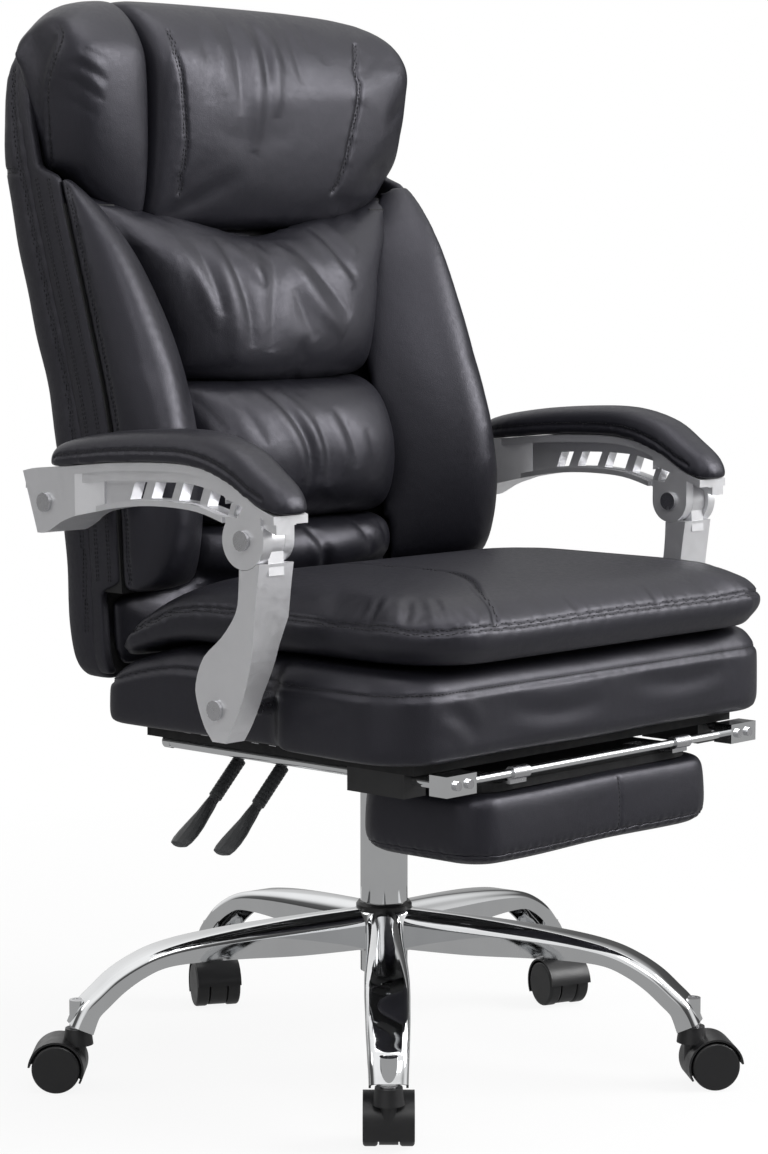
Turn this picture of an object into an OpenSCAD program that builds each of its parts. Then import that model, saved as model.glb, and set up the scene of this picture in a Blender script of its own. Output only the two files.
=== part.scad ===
// Reclining office chair with a pull-out footrest, on a five-leg chromed base.
// The origin is on the floor under the column. The sitter faces -Y and +X is the sitter's left.

/* [Base and casters] */
// Distance from the column axis to each caster stem
base_r = 332; // [300:1:360]
// Turn of the first leg from +X, as the base stands
leg_turn = 223.9; // [0:0.1:360]
// Width of a leg at its widest
leg_w = 45; // [36:1:52]
// Sheet thickness of the pressed legs
leg_wall = 2.2; // [1.6:0.1:3]
// Outer diameter of the hub
hub_d = 66; // [62:1:76]
// Height of the hub
hub_h = 42; // [34:1:50]
// Height of the top of the hub above the floor
hub_top = 166; // [156:1:180]
// Wheel diameter
wheel_d = 50; // [44:1:56]
// Width of one wheel
wheel_w = 14.5; // [12:0.5:17]
// Clear width between the two wheels of a caster
wheel_gap = 21; // [19:0.5:26]
// Distance from the stem axis to the wheel axle
caster_trail = 21; // [16:1:24]
// Diameter of the caster stem
stem_d = 11; // [9:0.5:12]

/* [Column] */
// Outer diameter of the column tube
column_d = 50; // [46:1:54]
// Wall of the column tube
column_wall = 2; // [1.5:0.1:3]
// Height of the top of the column tube above the floor
column_top = 305; // [290:1:315]
// Outer diameter of the gas cylinder
cylinder_d = 28; // [26:1:30]
// Height of the top of the gas cylinder at its lowest setting
cylinder_top = 350; // [346:1:352]
// Diameter of the piston rod
rod_d = 10; // [8:1:12]

/* [Seat] */
// Height of the underside of the padded seat base
base_z = 380; // [376:1:384]
// Thickness of the padded seat base
base_h = 88; // [80:1:92]
// Half width of the seat base at its front part
seat_hw = 285; // [279:1:290]
// Step in the side of the seat base beside the arm posts
seat_side_step = 16; // [11:1:22]
// Y of the front of the seat base
seat_front = -293; // [-293:1:-286]
// Y of the rear of the seat base
seat_rear = 134; // [126:1:138]
// Half width of the seat cushion
cushion_hw = 273; // [262:1:280]
// Y of the front of the seat cushion
cushion_front = -320; // [-326:1:-310]
// Y of the rear of the seat cushion
cushion_rear = 122; // [112:1:124]
// Thickness of the seat cushion at its crown
cushion_h = 70; // [60:1:74]
// Thickness of the plywood boards
board_t = 12; // [9:1:15]

/* [Mechanism] */
// Y of the recline hinge
hinge_y = 118; // [116:1:120]
// Height of the recline hinge
hinge_z = 350; // [348:1:352]
// Diameter of the recline hinge pin
hinge_d = 10; // [8:1:12]
// Y of the height lever
height_y = -22; // [-24:1:-20]
// Y of the recline lever
recline_y = 40; // [38:1:44]
// Diameter of the lever rods
lever_d = 8; // [6:1:9]

/* [Back] */
// Height of the lower edge of the back
back_z = 420; // [415:1:428]
// Height of the back from its lower edge to its top
back_h = 683; // [640:1:695]
// Half width of the back
back_hw = 265; // [255:1:272]
// Y of the front of the back board at its lower edge
back_y = 151; // [150:1:156]
// Lean of the lower part of the back
lean_low = 4; // [3:0.5:6]
// Lean of the upper part of the back
lean_up = 17; // [14:0.5:19]
// Depth of the outer shell behind the front of the back board
shell_depth = 77; // [68:1:84]
// Depth of the side frames in front of the back board
frame_depth = 38; // [32:1:42]
// Depth of the side bolsters in front of the back board
bolster_depth = 117; // [104:1:122]
// Depth of the headrest pillow
pillow_depth = 104; // [90:1:112]

/* [Arms] */
// Distance from the side of the seat base to the outer face of each arm
arm_out = 60; // [57:1:65]
// Width of an arm casting
arm_w = 45; // [42:1:50]
// Y of the knuckle
knuckle_y = -143; // [-148:1:-138]
// Height of the knuckle
knuckle_z = 588; // [584:1:592]
// Diameter of the outer knuckle disc
knuckle_d = 55; // [50:1:58]
// Y of the bolt at the foot of the post
foot_y = -106; // [-110:1:-102]
// Height of the bolt at the foot of the post
foot_z = 425; // [421:1:429]
// Y of the rear end of the arm
arm_rear = 171; // [166:1:176]
// Y of the front lip of the arm
arm_front = -184; // [-188:1:-180]
// Height of the lowest edge of the arm casting above the floor
arm_low = 578; // [574:1:582]
// Height of the arm casting
arm_h = 77; // [70:1:84]
// Width of the arm pad
pad_w = 58; // [52:1:64]
// Thickness of the arm pad
pad_h = 32; // [26:1:36]

/* [Footrest] */
// Distance from the centre plane to the axis of each rail
rail_x = 226.6; // [222:0.1:230]
// Diameter of the rails
rail_d = 12; // [10:0.5:12.5]
// Height of the rail axes
rail_z = 361; // [359.5:0.5:361]
// Y of the rear end of the rails
rail_rear = 91; // [80:1:96]
// Y of the crossbar
bar_y = -294; // [-298:1:-294]
// Diameter of the crossbar
bar_d = 8; // [6:1:10]
// Half width of the footrest pad
foot_hw = 180; // [160:1:186]
// Depth of the footrest pad from front to rear
foot_depth = 160; // [140:1:166]
// Thickness of the footrest pad below its board
foot_pad_h = 74; // [60:1:75]

/* [Hidden] */
$fn = 48;
cut = 1;
run_gap = 0.05;
touch_gap = 0.3;
seat_side_hw = seat_hw - seat_side_step;
arm_x = seat_hw + arm_out;
leather = [0.11, 0.11, 0.12];
black = [0.07, 0.07, 0.075];
silver = [0.78, 0.78, 0.79];
bright = [0.86, 0.87, 0.88];
steel = [0.55, 0.56, 0.58];
wood = [0.72, 0.58, 0.40];

// Smooth curve through hand-chosen points
function blend_point(a, b, c, d, t) =
    0.5 * (2 * b + (c - a) * t + (2 * a - 5 * b + 4 * c - d) * t * t + (3 * b - a - 3 * c + d) * t * t * t);
function curve(p, n) = concat([for (i = [0 : len(p) - 2], k = [0 : n - 1])
    blend_point(p[max(i - 1, 0)], p[i], p[i + 1], p[min(i + 2, len(p) - 1)], k / n)], [p[len(p) - 1]]);
function signed_power(v, e) = sign(v) * pow(abs(v), e);
function backward(list) = [for (i = [len(list) - 1 : -1 : 0]) list[i]];

// Closed solid through rings of equally many points, fan caps on convex rings and strip caps on folded ones
module loft(rings, folded = false) {
    n = len(rings[0]);
    m = len(rings);
    last = (m - 1) * n;
    sides = [for (i = [0 : m - 2], j = [0 : n - 1])
        let (a = i * n + j, b = i * n + (j + 1) % n, c = a + n, d = b + n) each [[a, c, d], [a, d, b]]];
    fan = [for (j = [1 : n - 2]) each [[0, j, j + 1], [last, last + j + 1, last + j]]];
    strip = [for (j = [0 : n / 2 - 2]) let (k = n - 1 - j)
        each [[j, j + 1, k], [j + 1, k - 1, k], [last + j, last + k, last + j + 1],
            [last + j + 1, last + k, last + k - 1]]];
    polyhedron(points = [for (r = rings) each r], faces = concat(sides, folded ? strip : fan));
}

// Bulged section over a flat side: y0 is the flat side and depth is signed
function half_ring(xc, hw, y0, depth, z, n, p) = [for (k = [0 : n]) let (a = 180 * k / n)
    [xc + sign(depth) * hw * signed_power(cos(a), 2 / p), y0 + depth * pow(abs(sin(a)), 2 / p), z]];

// Rounded rectangle seen from above, drawn in by inset
function corner_arc(x, y, r, from, n) =
    [for (k = [0 : n]) [x + r * cos(from + 90 * k / n), y + r * sin(from + 90 * k / n)]];
function even_share(n) = [for (k = [1 : n - 1]) k / n];
function along(a, b, shares) = [for (s = shares) a + (b - a) * s];
function plan_ring(hw, front, rear, r_front, r_rear, n) =
    shaped_ring(hw, front, rear, r_front, r_rear, even_share(n), n);
function shaped_ring(hw, front, rear, r_front, r_rear, side, n) =
    let (a = corner_arc(hw - r_front, front + r_front, r_front, -90, 5),
        b = corner_arc(hw - r_rear, rear - r_rear, r_rear, 0, 4),
        c = corner_arc(r_rear - hw, rear - r_rear, r_rear, 90, 4),
        d = corner_arc(r_front - hw, front + r_front, r_front, 180, 5))
    turned(concat(a, along(a[5], b[0], side), b, along(b[4], c[0], even_share(n)), c,
        along(c[4], d[0], [for (s = backward(side)) 1 - s]), d, along(d[5], a[0], even_share(n))), 2);
function turned(list, n) = [for (i = [0 : len(list) - 1]) list[(i + n) % len(list)]];
function lifted(ring, z) = [for (p = ring) [p[0], p[1], z]];
function mirrored(points) = [for (p = points) [-p[0], p[1], p[2]]];

// Solid of a side outline given in Y and Z, standing between two X planes
module side_plate(x0, x1) {
    translate([x0, 0, 0])
    rotate([90, 0, 90])
    linear_extrude(x1 - x0)
    children();
}
module x_rod(x0, x1, y, z, d) {
    translate([x0, y, z])
    rotate([0, 90, 0])
    cylinder(h = x1 - x0, d = d);
}
module y_rod(y0, y1, x, z, d) {
    translate([x, y1, z])
    rotate([90, 0, 0])
    cylinder(h = y1 - y0, d = d);
}

// Star base
leg_run_share = [0.072, 0.30, 0.506, 0.654, 0.753, 0.828, 0.895, 0.949, 0.996, 1.026];
leg_rise_share = [1.006, 0.976, 0.937, 0.895, 0.849, 0.789, 0.711, 0.620, 0.530, 0.410];
leg_depth_share = [0.89, 0.82, 0.64, 0.49, 0.40, 0.40, 0.42, 0.43, 0.45, 0.49];
leg_width_share = [0.84, 0.89, 0.96, 1, 1, 0.98, 0.96, 0.92, 0.88, 0.85];
leg_top = curve([for (i = [0 : 9]) [base_r * leg_run_share[i], hub_top * leg_rise_share[i],
    leg_w * leg_depth_share[i], leg_w * leg_width_share[i]]], 2);
leg_last = len(leg_top) - 1;
function leg_way(i) = let (d = leg_top[min(i + 1, leg_last)] - leg_top[max(i - 1, 0)])
    [d[0], d[1]] / norm([d[0], d[1]]);
// Folded sheet section: outer points from one lower edge over the top to the other, then the inner ones back
function channel(w, h, r, n) = concat([[w / 2, -h]], [for (k = [0 : n]) let (a = 90 * k / n)
    [w / 2 - r + r * cos(a), r * sin(a) - r]], [for (k = [0 : n]) let (a = 90 + 90 * k / n)
    [r - w / 2 + r * cos(a), r * sin(a) - r]], [[-w / 2, -h]]);
function leg_section(i) = let (s = leg_top[i], w = leg_way(i), r = min(s[2], s[3]) * 0.4,
        outer = channel(s[3], s[2], r, 3), inner = backward(channel(s[3] - 2 * leg_wall, s[2], r - leg_wall, 3)))
    [for (k = [0 : 2 * len(outer) - 1]) let (q = k < len(outer) ? outer[k] : inner[k - len(outer)],
        drop = k < len(outer) ? q[1] : max(q[1] - leg_wall, -s[2]))
        [s[0] - w[1] * drop, q[0], s[1] + w[0] * drop]];
socket_top = hub_top * 0.56;
socket_low = hub_top * 0.395;
socket_wall = 3.4;
module star_base() {
    color(bright)
    difference() {
        union() {
            for (k = [0 : 4])
                rotate([0, 0, leg_turn + 72 * k]) {
                    loft([for (i = [0 : leg_last]) leg_section(i)], folded = true);
                    translate([base_r, 0, socket_low])
                    cylinder(h = socket_top - socket_low, d = stem_d + 2 * socket_wall);
                }
            translate([0, 0, hub_top - hub_h])
            cylinder(h = hub_h, d = hub_d);
        }
        translate([0, 0, hub_top - hub_h - cut])
        cylinder(h = hub_h + 2 * cut, d = column_d);
        for (k = [0 : 4])
            rotate([0, 0, leg_turn + 72 * k])
            translate([base_r, 0, socket_low - cut])
            cylinder(h = socket_top - socket_low + 2 * cut, d = stem_d);
    }
}

// Casters: each stands on its own trail direction, as it came to rest
caster_turn = [43, 320, 250, 238, 133];
stem_low = wheel_d * 0.6;
pivot_d = stem_d * 0.73;
boss_d = wheel_d * 0.62;
boss_z = wheel_d * 0.98;
hood_wall = 2.6;
hood_gap = 1.2;
web_w = wheel_gap - 2 * hood_gap;
caster_w = wheel_gap + 2 * wheel_w;
flange_h = 2;
neck_top = socket_low - flange_h - touch_gap;
axle_d = 6;
module at_caster(k) {
    rotate([0, 0, leg_turn + 72 * k])
    translate([base_r, 0, 0])
    rotate([0, 0, caster_turn[k] - leg_turn - 72 * k])
    children();
}
module caster_stem() {
    translate([0, 0, socket_low + touch_gap])
    cylinder(h = socket_top - socket_low - 2 * touch_gap, d = stem_d);
    translate([0, 0, socket_low - flange_h])
    cylinder(h = flange_h, d = stem_d + 2 * socket_wall);
    translate([0, 0, stem_low])
    cylinder(h = socket_low + touch_gap - stem_low, d = pivot_d);
}
module caster_stems() {
    color(steel)
    for (k = [0 : 4])
        at_caster(k) caster_stem();
}
module hood_band(width, r0, r1, from, sweep) {
    translate([caster_trail, width / 2, wheel_d / 2])
    rotate([90, 0, 0])
    rotate([0, 0, from])
    rotate_extrude(angle = sweep)
    translate([r0, 0])
    square([r1 - r0, width]);
}
module caster_hood(k) {
    color(black)
    at_caster(k)
    difference() {
        union() {
            // Web between the wheels
            hood_band(web_w, 0, wheel_d / 2 - hood_gap, 0, 360);
            // Cover over both wheels
            hood_band(web_w, wheel_d / 2 - 3 * hood_gap, wheel_d / 2 + 2 * hood_gap, 5, 205);
            hood_band(caster_w, wheel_d / 2 + hood_gap, wheel_d / 2 + hood_gap + hood_wall, 5, 205);
            // Neck round the stem
            translate([0, 0, boss_z - hood_wall])
            cylinder(h = neck_top - boss_z + hood_wall, d1 = boss_d, d2 = boss_d * 0.86);
            translate([0, 0, stem_low - hood_wall])
            cylinder(h = boss_z - stem_low + cut, d = web_w * 0.86);
        }
        translate([0, 0, stem_low - touch_gap])
        cylinder(h = neck_top, d = pivot_d + 2 * run_gap);
        translate([caster_trail, caster_w, wheel_d / 2])
        rotate([90, 0, 0])
        cylinder(h = 2 * caster_w, d = axle_d + 2 * run_gap);
        // Room for the wheels below the neck
        for (side = [-1, 1])
            translate([caster_trail, side * (wheel_gap / 2 - hood_gap / 2 + caster_w / 2) + caster_w / 2, wheel_d / 2])
            rotate([90, 0, 0])
            cylinder(h = caster_w, d = wheel_d + 3 * hood_gap);
    }
}
tread_r = 3;
dish_depth = 2.5;
dish_r_share = 0.78;
module one_wheel() {
    difference() {
        rotate_extrude()
        difference() {
            union() {
                translate([0, tread_r])
                square([wheel_d / 2, wheel_w - 2 * tread_r]);
                square([wheel_d / 2 - tread_r, wheel_w]);
                for (y = [tread_r, wheel_w - tread_r])
                    translate([wheel_d / 2 - tread_r, y])
                    circle(r = tread_r);
            }
            translate([-wheel_d, -cut])
            square([wheel_d, wheel_w + 2 * cut]);
            translate([axle_d, -cut])
            square([wheel_d / 2 * dish_r_share - axle_d, dish_depth + cut]);
        }
        translate([0, 0, -cut])
        cylinder(h = wheel_w - dish_depth + cut, d = axle_d + run_gap);
    }
}
module caster_wheels(k) {
    color(black)
    at_caster(k) {
        for (side = [-1, 1])
            translate([caster_trail, side * wheel_gap / 2, wheel_d / 2])
            rotate([-90 * side, 0, 0])
            one_wheel();
        y_rod(-wheel_gap / 2 - wheel_w + dish_depth + touch_gap, wheel_gap / 2 + wheel_w - dish_depth - touch_gap,
            caster_trail, wheel_d / 2, axle_d);
    }
}

// Column and gas lift
column_low = hub_top - hub_h - 24;
plate_h = 4;
bearing_h = 9;
ring_d = column_d + 9;
ring_h = 8;
bush_h = 78;
bush_flange_h = 3;
column_bore = column_d - 2 * column_wall;
module column_tube() {
    color(bright)
    translate([0, 0, column_low])
    difference() {
        cylinder(h = column_top - column_low, d = column_d);
        translate([0, 0, plate_h])
        cylinder(h = column_top - column_low, d = column_bore);
        translate([0, 0, -cut])
        cylinder(h = plate_h + 2 * cut, d = rod_d + 2 * run_gap);
    }
}
module column_ring() {
    color(black)
    translate([0, 0, hub_top])
    difference() {
        union() {
            cylinder(h = ring_h * 0.6, d = ring_d);
            translate([0, 0, ring_h * 0.6])
            cylinder(h = ring_h * 0.4, d1 = ring_d, d2 = ring_d - ring_h * 0.6);
        }
        translate([0, 0, -cut])
        cylinder(h = ring_h + 2 * cut, d = column_d);
    }
}
module column_bush() {
    color(black)
    translate([0, 0, column_top - bush_h])
    difference() {
        union() {
            cylinder(h = bush_h, d = column_bore);
            translate([0, 0, bush_h])
            cylinder(h = bush_flange_h, d = column_d);
        }
        translate([0, 0, -cut])
        cylinder(h = bush_h + bush_flange_h + 2 * cut, d = cylinder_d + 2 * run_gap);
    }
}
bearing_z = column_low + plate_h;
ball_d = bearing_h * 0.5;
race_h = (bearing_h - ball_d) / 2 - touch_gap;
bearing_d = rod_d * 2.4;
ball_circle_d = (rod_d + bearing_d) / 2;
module thrust_bearing() {
    color(steel)
    translate([0, 0, bearing_z])
    for (z = [0, bearing_h - race_h])
        translate([0, 0, z])
        difference() {
            cylinder(h = race_h, d = bearing_d);
            translate([0, 0, -cut])
            cylinder(h = race_h + 2 * cut, d = rod_d + 2 * run_gap);
        }
    color(bright)
    for (k = [0 : 9])
        rotate([0, 0, 36 * k])
        translate([ball_circle_d / 2, 0, bearing_z + bearing_h / 2])
        sphere(d = ball_d, $fn = 24);
}
cylinder_low = bearing_z + bearing_h + touch_gap + 3;
cylinder_wall = 2;
gland_h = 12;
piston_top = column_top - 20;
piston_h = 8;
clip_h = 3;
module piston_rod() {
    color(bright)
    difference() {
        union() {
            translate([0, 0, column_low - 2 * clip_h])
            cylinder(h = piston_top - column_low + 2 * clip_h, d = rod_d);
            translate([0, 0, piston_top - piston_h])
            cylinder(h = piston_h, d = cylinder_d - 2 * cylinder_wall - 2 * run_gap);
            translate([0, 0, column_low - clip_h - run_gap])
            cylinder(h = clip_h, d = rod_d * 1.8);
            translate([0, 0, bearing_z + bearing_h + run_gap])
            cylinder(h = clip_h, d = rod_d * 1.8);
        }
    }
}
module gas_cylinder() {
    color(steel)
    difference() {
        translate([0, 0, cylinder_low])
        cylinder(h = cylinder_top - cylinder_low, d = cylinder_d);
        translate([0, 0, cylinder_low + gland_h])
        cylinder(h = cylinder_top - cylinder_low - 2 * gland_h, d = cylinder_d - 2 * cylinder_wall);
        translate([0, 0, cylinder_low - cut])
        cylinder(h = gland_h + 2 * cut, d = rod_d + 2 * run_gap);
        translate([0, 0, cylinder_top - gland_h - cut])
        cylinder(h = gland_h + 2 * cut, d = button_d + 2 * run_gap);
    }
}
button_d = 8;
button_rise = 4;
module valve_button() {
    color(bright)
    translate([0, 0, cylinder_top - gland_h])
    cylinder(h = gland_h + button_rise, d = button_d);
}

// Mechanism under the seat
plate_t = 3;
board_z = base_z - board_t;
plate_z = board_z - plate_t;
plate_hw = 100;
plate_front = -98;
plate_rear = 106;
wall_x = 60;
wall_low = 326;
wall_front = -70;
wall_rear = 92;
socket_d = 38;
socket_h = 30;
floor_hw_y = 34;
ear_x = 90;
ear_t = 5;
ear_r = 13;
lever_z = 353;
tab_t = 4;
tab_gap = 14;
height_pin_x = -34;
pin_d = 6;
slot_room = 5;
screw_d = 8;
screw_x = 84;
screw_y_share = [-0.84, 0.80];
pawl_t = 8;
module slot_x(y, z, w, h) {
    translate([-wall_x - plate_t - cut, y - w / 2, z - h / 2])
    cube([plate_t + 2 * cut, w, h]);
}
module mechanism_housing() {
    color(black)
    difference() {
        union() {
            translate([-plate_hw, plate_front, plate_z])
            cube([2 * plate_hw, plate_rear - plate_front, plate_t]);
            for (side = [-1, 1])
                translate([side * (wall_x + plate_t / 2) - plate_t / 2, wall_front, wall_low])
                cube([plate_t, wall_rear - wall_front, plate_z - wall_low + plate_t / 2]);
            translate([-wall_x - plate_t / 2, -floor_hw_y, wall_low])
            cube([2 * wall_x + plate_t, 2 * floor_hw_y, plate_t]);
            translate([0, 0, cylinder_top - socket_h])
            cylinder(h = socket_h - plate_t, d = socket_d);
            // Ears of the recline hinge
            for (side = [-1, 1])
                translate([side * (ear_x + ear_t / 2) - ear_t / 2, 0, 0])
                side_plate(0, ear_t)
                union() {
                    translate([hinge_y, hinge_z])
                    circle(r = ear_r);
                    translate([plate_rear - 3 * ear_r, hinge_z])
                    square([hinge_y - plate_rear + 3 * ear_r, plate_z - hinge_z + plate_t / 2]);
                    polygon([[plate_rear - 3 * ear_r, plate_z], [hinge_y, hinge_z - ear_r], [hinge_y, plate_z]]);
                }
            // Tabs that hold the pin of the height lever
            for (y = [height_y - tab_gap / 2 - tab_t, height_y + tab_gap / 2])
                translate([height_pin_x - 2 * pin_d, y, lever_z - pin_d])
                cube([4 * pin_d, tab_t, plate_z - lever_z + pin_d + plate_t / 2]);
            // Bearing block of the recline lever
            translate([-wall_x - plate_t - 3 * tab_t, recline_y - lever_d, lever_z - lever_d])
            cube([3 * tab_t + plate_t, 2 * lever_d, plate_z - lever_z + lever_d + plate_t / 2]);
        }
        translate([0, 0, cylinder_top - socket_h - cut])
        cylinder(h = socket_h + 2 * cut, d = cylinder_d + 2 * run_gap);
        slot_x(height_y, lever_z, lever_d + 2 * slot_room, lever_d + 2 * slot_room);
        x_rod(-wall_x - plate_t - 3 * tab_t - cut, cut, recline_y, lever_z, lever_d + 2 * run_gap);
        x_rod(-ear_x - ear_t - cut, ear_x + ear_t + cut, hinge_y, hinge_z, hinge_d);
        y_rod(height_y - tab_gap, height_y + tab_gap, height_pin_x, lever_z, pin_d);
        for (side = [-1, 1], s = screw_y_share)
            translate([side * screw_x, s * plate_rear, plate_z - cut])
            cylinder(h = plate_t + 2 * cut, d = screw_d);
    }
}
pin_head_h = 3;
module mechanism_pins() {
    color(bright) {
        x_rod(-ear_x - ear_t - pin_head_h, ear_x + ear_t + pin_head_h, hinge_y, hinge_z, hinge_d);
        for (x = [-ear_x - ear_t - 2 * pin_head_h, ear_x + ear_t + touch_gap])
            x_rod(x, x + 2 * pin_head_h - touch_gap, hinge_y, hinge_z, hinge_d * 1.6);
        y_rod(height_y - tab_gap / 2 - tab_t - pin_head_h, height_y + tab_gap / 2 + tab_t + pin_head_h,
            height_pin_x, lever_z, pin_d);
    }
}
module mechanism_screws() {
    color(bright)
    for (side = [-1, 1], s = screw_y_share)
        translate([side * screw_x, s * plate_rear, 0]) {
            translate([0, 0, plate_z])
            cylinder(h = plate_t + board_t * 0.8, d = screw_d);
            translate([0, 0, plate_z - screw_d * 0.6])
            cylinder(h = screw_d * 0.6, d = screw_d * 1.8, $fn = 6);
        }
}

// Levers
bend_x = -160;
sleeve_x = -174;
sleeve_drop = 12;
grip_x = -216;
grip_drop = 45;
lever_tip_x = -236;
lever_tip_drop = 74;
rod_in = 6;
module lever_segment(a, b, d) {
    way = b - a;
    translate(a)
    rotate([0, acos(way[2] / norm(way)), atan2(way[1], way[0])])
    cylinder(h = norm(way), d = d);
}
module lever_shaft(y, inner_x) {
    x_rod(bend_x, inner_x, y, lever_z, lever_d);
    translate([bend_x, y, lever_z])
    sphere(d = lever_d);
    lever_segment([bend_x, y, lever_z], [lever_tip_x, y, lever_z - lever_tip_drop], lever_d);
}
eye_d = 12;
eye_w = tab_gap - 2 * touch_gap;
finger_t = 4;
finger_w = eye_w;
finger_gap = 1;
finger_reach = button_d;
module height_lever_rod() {
    color(steel)
    difference() {
        union() {
            lever_shaft(height_y, height_pin_x);
            y_rod(height_y - eye_w / 2, height_y + eye_w / 2, height_pin_x, lever_z, eye_d);
            // Finger over the valve
            translate([height_pin_x, height_y - eye_w / 2, cylinder_top + button_rise + finger_gap])
            cube([-height_pin_x - eye_d, finger_w, finger_t]);
            translate([-eye_d - cut, height_y - eye_w / 2, cylinder_top + button_rise + finger_gap])
            cube([eye_d + cut + button_d / 2, -height_y + eye_w / 2 + finger_reach, finger_t]);
        }
        y_rod(height_y - eye_w, height_y + eye_w, height_pin_x, lever_z, pin_d + 2 * run_gap);
    }
}
ratchet_r = 18;
pawl_gap = 1;
module recline_lever_rod() {
    color(steel) {
        lever_shaft(recline_y, -wall_x + plate_t + pawl_t);
        // Pawl beside the wall
        side_plate(-wall_x + plate_t, -wall_x + plate_t + pawl_t)
        union() {
            translate([recline_y, lever_z])
            circle(d = lever_d * 2);
            polygon([[recline_y, lever_z + lever_d * 0.8], [recline_y, lever_z - lever_d * 0.8],
                [hinge_y - ratchet_r - 2 * pawl_gap, hinge_z - lever_d * 0.3],
                [hinge_y - ratchet_r - pawl_gap, hinge_z], [hinge_y - ratchet_r - 2 * pawl_gap, hinge_z + lever_d * 0.3]]);
        }
    }
}
sleeve_d = 14;
rib_pitch = 5;
lever_slope = [grip_x - sleeve_x, 0, sleeve_drop - grip_drop];
sleeve_len = norm(lever_slope);
rib_count = floor(sleeve_len / rib_pitch);
module lever_sleeve(y) {
    a = [bend_x, y, lever_z];
    b = [lever_tip_x, y, lever_z - lever_tip_drop];
    way = (b - a) / norm(b - a);
    color(black)
    translate(a + way * norm([sleeve_x - bend_x, sleeve_drop]))
    rotate([0, acos(way[2]), 180])
    difference() {
        union() {
            cylinder(h = sleeve_len, d = sleeve_d * 0.8);
            for (k = [0 : rib_count - 1])
                translate([0, 0, k * rib_pitch])
                cylinder(h = rib_pitch * 0.6, d = sleeve_d);
        }
        translate([0, 0, -cut])
        cylinder(h = sleeve_len + 2 * cut, d = lever_d + 2 * run_gap);
    }
}
grip_len = 62;
grip_w_share = [0.30, 0.42, 0.62, 0.86, 1, 1, 0.86, 0.45];
grip_t_share = [0.90, 0.95, 0.9, 0.8, 0.72, 0.66, 0.6, 0.3];
grip_s_share = [0, 0.12, 0.3, 0.5, 0.7, 0.86, 0.96, 1];
grip_w = 27;
grip_t = 15;
grip_tilt = 24;
module lever_grip(y) {
    a = [bend_x, y, lever_z];
    b = [lever_tip_x, y, lever_z - lever_tip_drop];
    way = (b - a) / norm(b - a);
    start = a + way * (norm([sleeve_x - bend_x, sleeve_drop]) + sleeve_len + touch_gap);
    color([0.2, 0.2, 0.21])
    difference() {
        translate(start)
        rotate([0, acos(way[2]), 180])
        loft([for (i = [0 : 7]) [for (k = [0 : 11]) let (c = 30 * k)
            [grip_t * grip_t_share[i] / 2 * cos(c) - grip_tilt * pow(grip_s_share[i], 2) / 4,
                grip_w * grip_w_share[i] / 2 * sin(c), grip_len * grip_s_share[i]]]]);
        lever_segment(start - way, b + way * touch_gap, lever_d + 2 * run_gap);
    }
}

// Seat
board_hw = 245;
board_front = -268;
board_rear = 100;
module seat_board() {
    color(wood)
    difference() {
        translate([-board_hw, board_front, board_z])
        cube([2 * board_hw, board_rear - board_front, board_t]);
        for (side = [-1, 1], s = screw_y_share)
            translate([side * screw_x, s * plate_rear, board_z - cut])
            cylinder(h = board_t * 0.9 + cut, d = screw_d);
    }
}
seat_r_front = 66;
seat_r_rear = 30;
seat_step_y = -120;
step_run = 14;
base_rise_share = [0, 0.06, 0.14, 0.70, 0.765, 0.86, 0.94, 0.985, 1, 1, 1, 1, 1, 1];
base_inset_share = [0.18, 0.05, 0, 0, 0.09, 0.22, 0.42, 0.68, 0.95, 1.7, 2.4, 3.2, 4.4, 5.5];
base_drop_y = 15;
base_drop_share = 0.40;
function base_fall(y) = 1 - base_drop_share * pow(max(0, (y - base_drop_y) / (seat_rear - base_drop_y)), 1.6);
function seat_side(y) = lookup(y, [[seat_step_y - step_run, 1], [seat_step_y, seat_side_hw / seat_hw]]);
seat_side_share = [0.14, 0.276, 0.324, 0.62, 0.76, 0.89];
function seat_ring(inset, z) = [for (p = shaped_ring(seat_hw - inset, seat_front + inset, seat_rear - inset,
    max(seat_r_front - inset, seat_r_rear / 3), max(seat_r_rear - inset / 2, seat_r_rear / 3), seat_side_share, 7))
        [p[0] * seat_side(p[1]), p[1], base_z + touch_gap + z * base_fall(p[1])]];
seat_inset = seat_r_front / 2;
module seat_base() {
    color(leather)
    loft([for (i = [0 : len(base_rise_share) - 1]) seat_ring(seat_inset * base_inset_share[i], base_h * base_rise_share[i])]);
}
cushion_r = 78;
cushion_rise_share = [0, 0, 0, 0, 0, 0.04, 0.12, 0.24, 0.36, 0.48, 0.56, 0.66, 0.77, 0.86, 0.93, 0.98, 1];
cushion_inset_share = [0.9, 0.66, 0.50, 0.34, 0.20, 0.10, 0.04, 0.01, 0, 0.015, 0.045, 0.10, 0.19, 0.32, 0.50, 0.72, 0.92];
cushion_inset = 200;
cushion_drop_y = -60;
cushion_drop_share = 0.62;
function cushion_fall(y) = 1 - cushion_drop_share *
    pow(max(0, (y - cushion_drop_y) / (cushion_rear - cushion_drop_y)), 2);
seam_x_share = 0.56;
seam_w = 9;
seam_depth = 3;
bed_gap = 1.7;
function cushion_bed(y) = base_z + bed_gap + base_h * base_fall(y);
function seam_dip(x, share) = share < 0.75 ? 0 : seam_depth * exp(-pow((abs(x) - seam_x_share * cushion_hw) / seam_w, 2));
function cushion_ring(i) = let (share = cushion_inset_share[i], d = cushion_inset * share,
        r = cushion_r * (1 - share * 0.8))
    [for (p = plan_ring(cushion_hw - d, cushion_front + d, cushion_rear - d, r, r * 0.7, 7))
        [p[0], p[1], cushion_bed(p[1]) + cushion_h * cushion_rise_share[i] * cushion_fall(p[1])
            - seam_dip(p[0], cushion_rise_share[i])]];
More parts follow.
